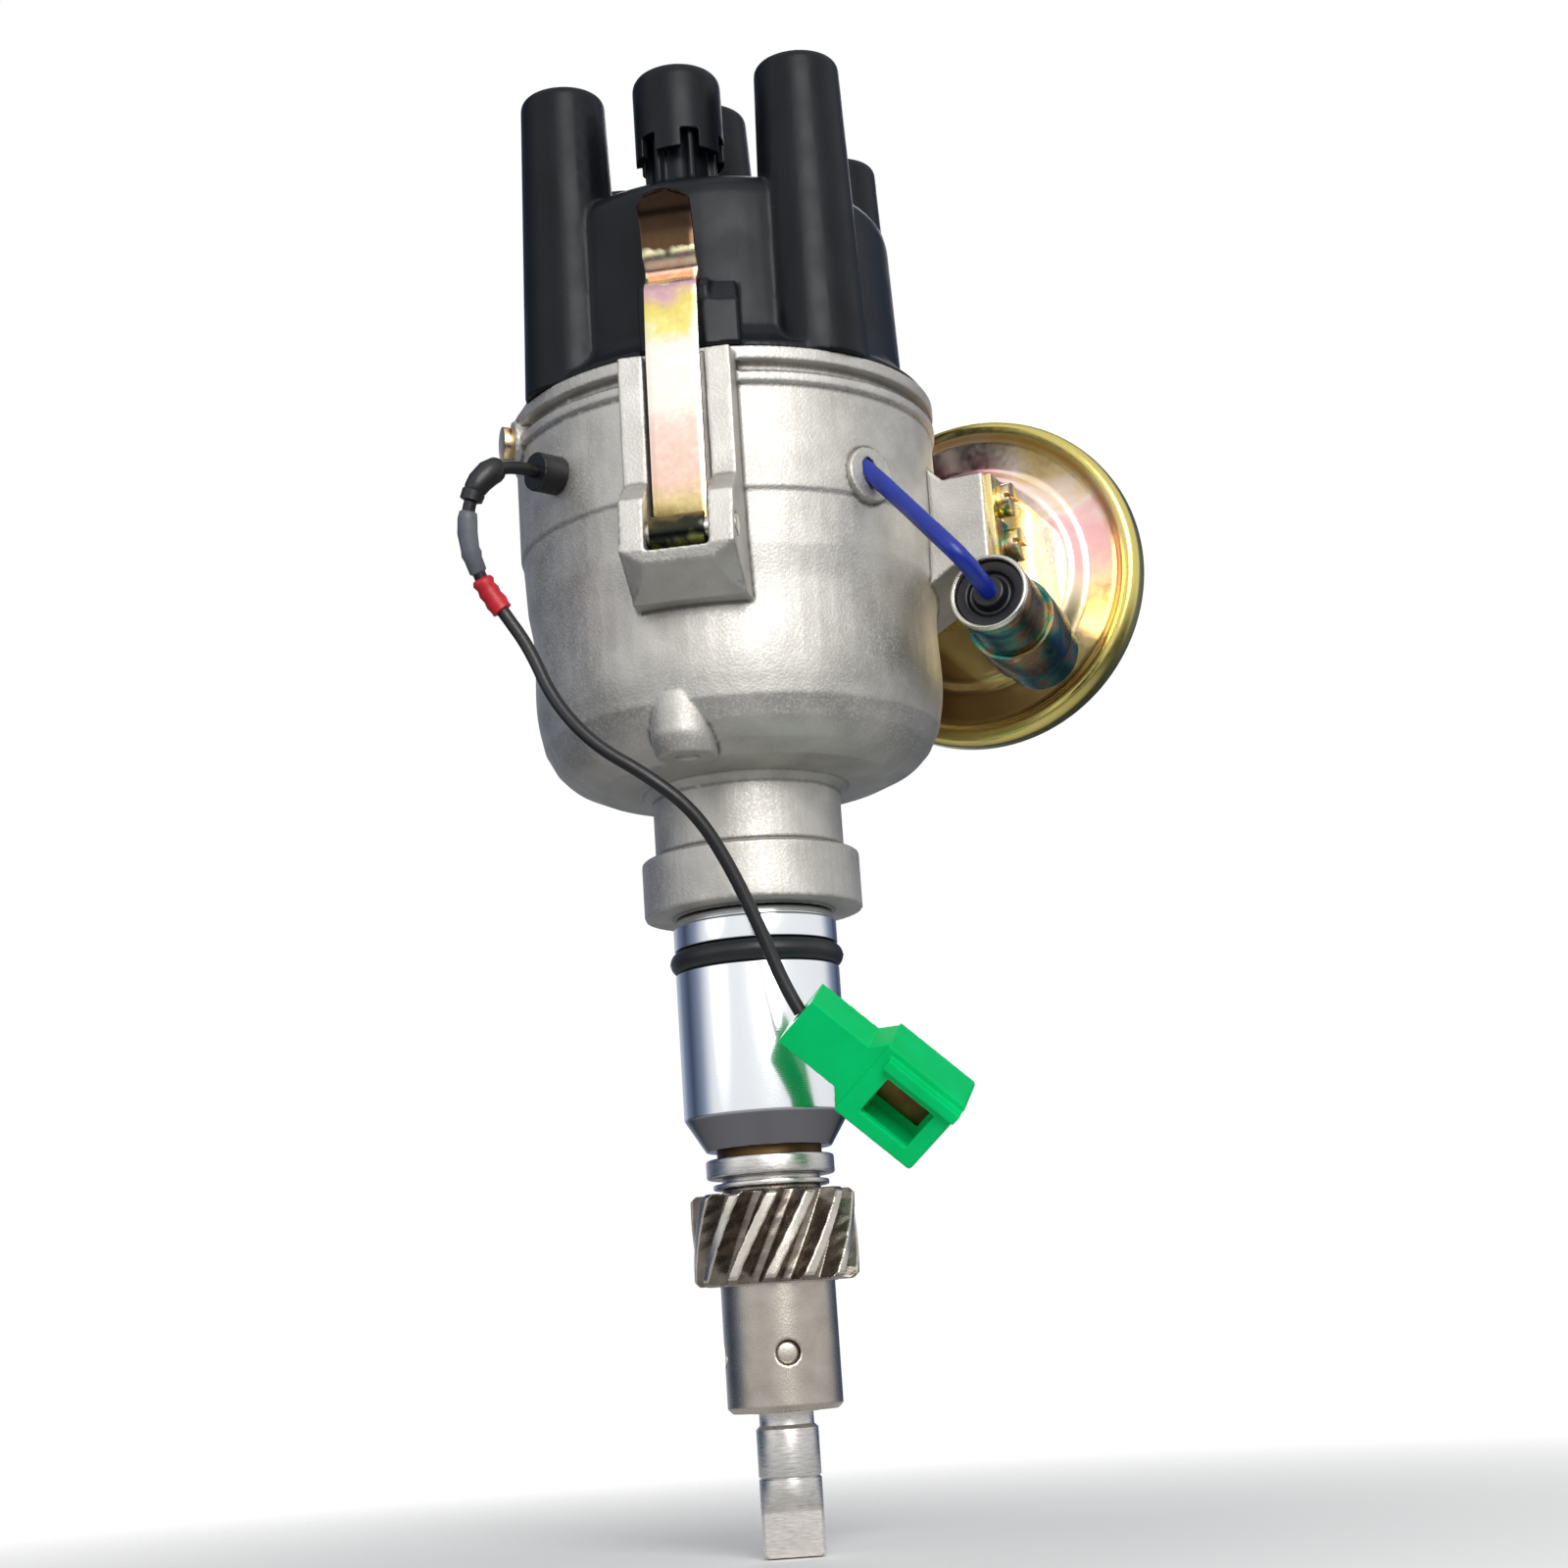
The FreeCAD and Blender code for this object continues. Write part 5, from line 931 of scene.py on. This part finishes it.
def dress_lead():
    """The free lead with its boot and sleeves, ending in its connector."""
    lead = lead_curve("black_lead", LEAD_POINTS, LEAD_R)
    lead.data.materials.append(FINISH["black_insulation"])
    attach(lead, "root")
    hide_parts("lead_wire")
    line = centre_line(lead)
    for name, span, shape, slot, node in (
        ("lead_boot_piece", BOOT_SPAN, BOOT_SHAPE, "black_insulation", "lead_boot"),
        ("grey_sleeve_piece", GREY_SPAN, GREY_SHAPE, "grey_sleeve", "sleeve_grey"),
        ("red_sleeve_piece", RED_SPAN, RED_SHAPE, "red_sleeve", "sleeve_red"),
    ):
        sleeve = sleeve_on(name, line, span, [(share, r * MM) for share, r in shape])
        stand_for(sleeve, slot, node)
    plug = moulded(copy_of("plug_housing", "green_plug"), FINE_GRAIN, rounds=2)
    stand_for(plug, "green_nylon", "plug_housing")
    # the blade takes dark brass, painted shade for the inside of the connector's window
    blade = broken_edges(copy_of("plug_terminal", "plug_blade"), BLADE_EDGE)
    stand_for(blade, "brass_painted_shade", "plug_terminal")
    for piece in (plug, blade):
        piece.data.transform(plug_turn())


def dress_blue_lead():
    """The short lead from the housing to the condenser, held at both ends."""
    lead = mesh_of(lead_curve("blue_lead", BLUE_POINTS, BLUE_R))
    smooth(lead, 60)
    stand_for(lead, "blue_insulation", "condenser_lead")


# castings, barrel and shaft

def swell(value, marks):
    """Zero up to the first mark, one from the second to the third, zero from the fourth, and soft between."""
    start, full, wane, end = marks
    t = max(0.0, min(1.0, (value - start) / (full - start), (end - value) / (end - wane)))
    return t * t * (3 - 2 * t)


def fuller_bowl(body):
    """Brings the bowl's lower wall out to the photograph's rounder line, fading out towards arm and lugs."""
    for vertex in body.data.vertices:
        at = vertex.co
        r = Vector((at.x, at.y)).length
        out = BOWL_FULLER * swell(at.z, BOWL_FULLER_Z) * swell(r, BOWL_FULLER_R)
        if out > 0:
            at.x *= 1 + out / r
            at.y *= 1 + out / r


def dress_housing():
    """The cast body above the collar's underside, and the machined barrel below it."""
    body = above(copy_of("housing", "cast_body"), BODY_CUT)
    body = moulded(body, BODY_GRAIN, rounds=2)
    fuller_bowl(body)
    stand_for(body, "cast_aluminium", "housing")
    groove = ORING_CENTRE_R - ORING_R
    outline = [
        (BUSH_R, NOSE_BOTTOM),
        (NOSE_R, NOSE_BOTTOM),
        (BARREL_R, BARREL_BOTTOM),
        (BARREL_R, ORING_Z - ORING_R),
        (groove, ORING_Z - ORING_R),
        (groove, ORING_Z + ORING_R),
        (BARREL_R, ORING_Z + ORING_R),
        (BARREL_R, -RELIEF_H),
        (RELIEF_R, -RELIEF_H),
        (RELIEF_R, BARREL_TOP),
        (BUSH_R, BARREL_TOP),
    ]
    barrel = lathe("machined_barrel", eased(outline, MACHINED_EDGE))
    stand_for(barrel, "turned_aluminium", "housing")


def dress_o_ring():
    """Round section with the mould's faint parting line on its outside."""
    outline = []
    for i in range(ORING_SIDES):
        turn = 2 * pi * i / ORING_SIDES
        r = ORING_R + (ORING_LINE if i == 0 else 0.0)
        outline.append((ORING_CENTRE_R + r * cos(turn), ORING_Z + r * sin(turn)))
    stand_for(lathe("o_ring_piece", outline), "seal_rubber", "o_ring")


def dress_shaft():
    """The shaft, its washers and pin, and the gear on it."""
    for node, slot, width in (
        ("drive_shaft", "shaft_steel", EDGE),
        ("thick_washer", "shaft_steel", WASHER_EDGE),
        ("spacer_washer", "shaft_steel", EDGE),
        ("thin_washer", "shaft_steel", EDGE),
        ("gear_pin", "gear_steel", EDGE),
    ):
        worked(node, slot, width)
    gear = moulded(copy_of("drive_gear", "helical_gear"), FINE_GRAIN, rounds=2)
    stand_for(gear, "gear_steel", "drive_gear")


# cap and cover

def longer_skirt(cover):
    """Draws the vent cover's skirt down while its top stays where it is."""
    heights = [v.co.z for v in cover.data.vertices]
    top = max(heights)
    low = min(heights)
    for vertex in cover.data.vertices:
        vertex.co.z = top - (top - vertex.co.z) * (top - low + VENT_SKIRT) / (top - low)


def dress_cap():
    """The moulded cap and the vent cover on its top."""
    cap = moulded(copy_of("cap", "moulded_cap"), CAP_GRAIN, rounds=4)
    stand_for(cap, "cap_phenolic", "cap")
    cover = moulded(copy_of("vent_cover", "vent_cover_piece"), FINE_GRAIN, rounds=4)
    longer_skirt(cover)
    stand_for(cover, "cap_phenolic", "vent_cover")


# clips

def line_at(line, reach, s):
    """The point and direction at length s along a side-view line."""
    i = 0
    while i < len(line) - 2 and reach[i + 1] < s:
        i += 1
    a = Vector(line[i])
    way = (Vector(line[i + 1]) - a).normalized()
    return a + way * (s - reach[i]), way


def clip_section():
    """Points round the strip's section, across its front, down one edge, back and up the other."""
    half = CLIP_W / 2
    front = CLIP_T / 2
    corner = CLIP_EDGE * CLIP_CORNER
    flat = CLIP_W - 2 * CLIP_EDGE
    across = [-half + CLIP_EDGE + flat * k / CLIP_COLUMNS for k in range(CLIP_COLUMNS + 1)]
    section = [(x, front) for x in across]
    section += [(half - corner, front - corner), (half, front - CLIP_EDGE)]
    section += [(half, CLIP_EDGE - front), (half - corner, corner - front)]
    section += [(x, -front) for x in across[::-1]]
    section += [(corner - half, corner - front), (-half, CLIP_EDGE - front)]
    section += [(-half, front - CLIP_EDGE), (corner - half, front - corner)]
    return section


def clip_strip(name):
    """A sprung strip with rounded edges, swept from the loop round its pin up to the arched thumb tab."""
    loop = []
    for degree in range(CLIP_LOOP_START, 361, CLIP_LOOP_STEP):
        turn = radians(degree)
        loop.append((CLIP_PIN_Y + CLIP_LOOP_R * cos(turn), CLIP_PIN_Z + CLIP_LOOP_R * sin(turn)))
    line = loop[:-1] + eased(loop[-1:] + CLIP_SIDE, CLIP_EASE, closed=False)
    reach = lengths_along(line)
    whole = reach[-1]
    tab = whole - CLIP_TAB
    half = CLIP_W / 2
    section = clip_section()
    points = []
    for row in range(CLIP_ROWS + 1):
        for x, n in section:
            s = whole * row / CLIP_ROWS
            if s > tab:
                arch = 1 - sqrt(max(0.0, 1 - (CLIP_ARCH_SHARE * x / half) ** 2))
                end = whole - CLIP_ARCH * arch
                s = tab + (s - tab) * (end - tab) / (whole - tab)
            at, way = line_at(line, reach, s)
            points.append((x, at.x - way.y * n, at.y + way.x * n))
    return mesh_piece(name, points, tube_faces(CLIP_ROWS + 1, len(section)))


def dress_clips():
    """The two sprung clips, each turned to its own side, and their pins."""
    for node, turn in CLIP_TURNS.items():
        clip = clip_strip(node + "_strip")
        clip.data.transform(Matrix.Rotation(turn, 4, "Z"))
        smooth(clip, 40)
        stand_for(clip, "clip_zinc", node)
    worked("clip_pins", "plated_steel", PIN_EDGE)


# vacuum unit and condenser

def dress_can():
    """The can's two pressings on its axis, then its bracket and the screws."""
    for name, outline, node in (
        ("can_front_pressing", CAN_FRONT, "can_front_shell"),
        ("can_rear_pressing", CAN_REAR, "can_rear_shell"),
    ):
        shell = lathe(name, eased(from_mm(outline), CAN_EASE), can_place())
        stand_for(shell, "can_zinc", node)
    for node in ("vacuum_bracket", "bracket_screws", "rim_screw"):
        worked(node, "yellow_zinc")


def dress_condenser():
    """The drawn can with its rolled mouth and end seal, its strap, and the blue lead's grommet."""
    place = Matrix.Translation(COND_FRONT) @ COND_AXIS.to_track_quat("Z", "Y").to_matrix().to_4x4()
    body = lathe("condenser_drawn_can", from_mm(eased(COND_CAN, COND_EASE, closed=False)), place)
    stand_for(body, "condenser_zinc", "condenser_can")
    ring = lathe("condenser_rolled_mouth", from_mm(eased(COND_MOUTH, COND_EASE)), place)
    stand_for(ring, "bright_tin", "condenser_can")
    seal = lathe("condenser_end_seal", from_mm(eased(COND_SEAL, SEAL_EASE, closed=False)), place)
    stand_for(seal, "seal_black", "condenser_seal")
    worked("condenser_strap", "condenser_zinc")
    grommet = moulded(copy_of("lead_grommet", "lead_grommet_piece"), FINE_GRAIN, rounds=3)
    stand_for(grommet, "seal_black", "lead_grommet")


# stage

def floor():
    """Pale floor that fades out into the white background and keeps the shadow."""
    points = [(0, 0, FLOOR_Z)]
    for k in range(FLOOR_SIDES):
        turn = 2 * pi * k / FLOOR_SIDES
        points.append((FLOOR_R * cos(turn), FLOOR_R * sin(turn), FLOOR_Z))
    faces = [(0, k + 1, (k + 1) % FLOOR_SIDES + 1) for k in range(FLOOR_SIDES)]
    piece = mesh_piece("floor", points, faces)
    finish, tree, shader, where = base("floor_paper", "#F4F4F4", 0.9)
    shader.inputs["Specular IOR Level"].default_value = 0.1
    off = add(tree, "ShaderNodeVectorMath", {"operation": "LENGTH"}, links={0: where})
    fade = between(tree, off.outputs["Value"], *FLOOR_FADE, low=1.0, high=0.0)
    tree.links.new(fade, shader.inputs["Alpha"])
    piece.data.materials.append(finish)


def lamp(name, at, aim, size, power):
    """A round soft lamp that the camera doesn't see."""
    data = bpy.data.lights.new(name, "AREA")
    data.shape = "DISK"
    data.size = size
    data.energy = power
    light = linked(name, data)
    light.location = at
    light.rotation_euler = (Vector(aim) - Vector(at)).to_track_quat("-Z", "Y").to_euler()
    light.visible_camera = False


def studio():
    """A wide key from the front right, a weak fill from the left and a lamp behind."""
    lamp("key", at=(0.18, -0.90, 0.43), aim=(0, 0, 0.03), size=0.7, power=7.8)
    lamp("fill", at=(-0.80, -0.50, 0.25), aim=(0, 0, 0.03), size=0.5, power=0.3)
    lamp("back", at=(0.10, 0.80, 0.70), aim=(0, 0, 0.05), size=0.6, power=1.8)


def air():
    """White to the camera, softer in the light it gives, and darker at the sides and below in metal."""
    world = bpy.data.worlds.new("studio_air")
    world.use_nodes = True
    tree = world.node_tree
    tree.nodes.clear()
    path = add(tree, "ShaderNodeLightPath").outputs
    way = add(tree, "ShaderNodeTexCoord").outputs["Generated"]
    front = {1: (0.26, -0.966, 0.0)}
    facing = add(tree, "ShaderNodeVectorMath", {"operation": "DOT_PRODUCT"}, front, {0: way})
    band = between(tree, facing.outputs["Value"], start=1.0, end=-1.0)
    stops = [
        (0.0, "#FFFFFF"),
        (0.52, "#F7F8FB"),
        (0.66, "#8490A8"),
        (0.84, "#344058"),
        (0.95, "#74829C"),
        (1.0, "#C5CEDC"),
    ]
    sides = tinted(tree, band, stops)
    below = between(tree, height(tree, way), start=-0.36, end=0.0, low=0.92, high=0.0)
    mirrored = mixed(tree, below, sides, "#343A44")
    shown = mixed(tree, path["Is Glossy Ray"], "#FFFFFF", mirrored)
    seen = path["Is Camera Ray"]
    for ray in ("Is Glossy Ray", "Is Transmission Ray"):
        either = {0: seen, 1: path[ray]}
        seen = add(tree, "ShaderNodeMath", {"operation": "MAXIMUM"}, links=either).outputs[0]
    soft = add(tree, "ShaderNodeBackground", values={"Color": linear("#F6F8FC"), "Strength": 0.30})
    bright = add(tree, "ShaderNodeBackground", links={"Color": shown})
    both = add(tree, "ShaderNodeMixShader", links={0: seen, 1: soft.outputs[0], 2: bright.outputs[0]})
    add(tree, "ShaderNodeOutputWorld", links={"Surface": both.outputs[0]})
    bpy.context.scene.world = world
    bpy.context.scene.view_settings.view_transform = "Standard"


photo_camera()
dress_nodes()
dress_lead()
dress_blue_lead()
dress_housing()
dress_o_ring()
dress_shaft()
dress_cap()
dress_clips()
dress_can()
dress_condenser()
floor()
studio()
air()
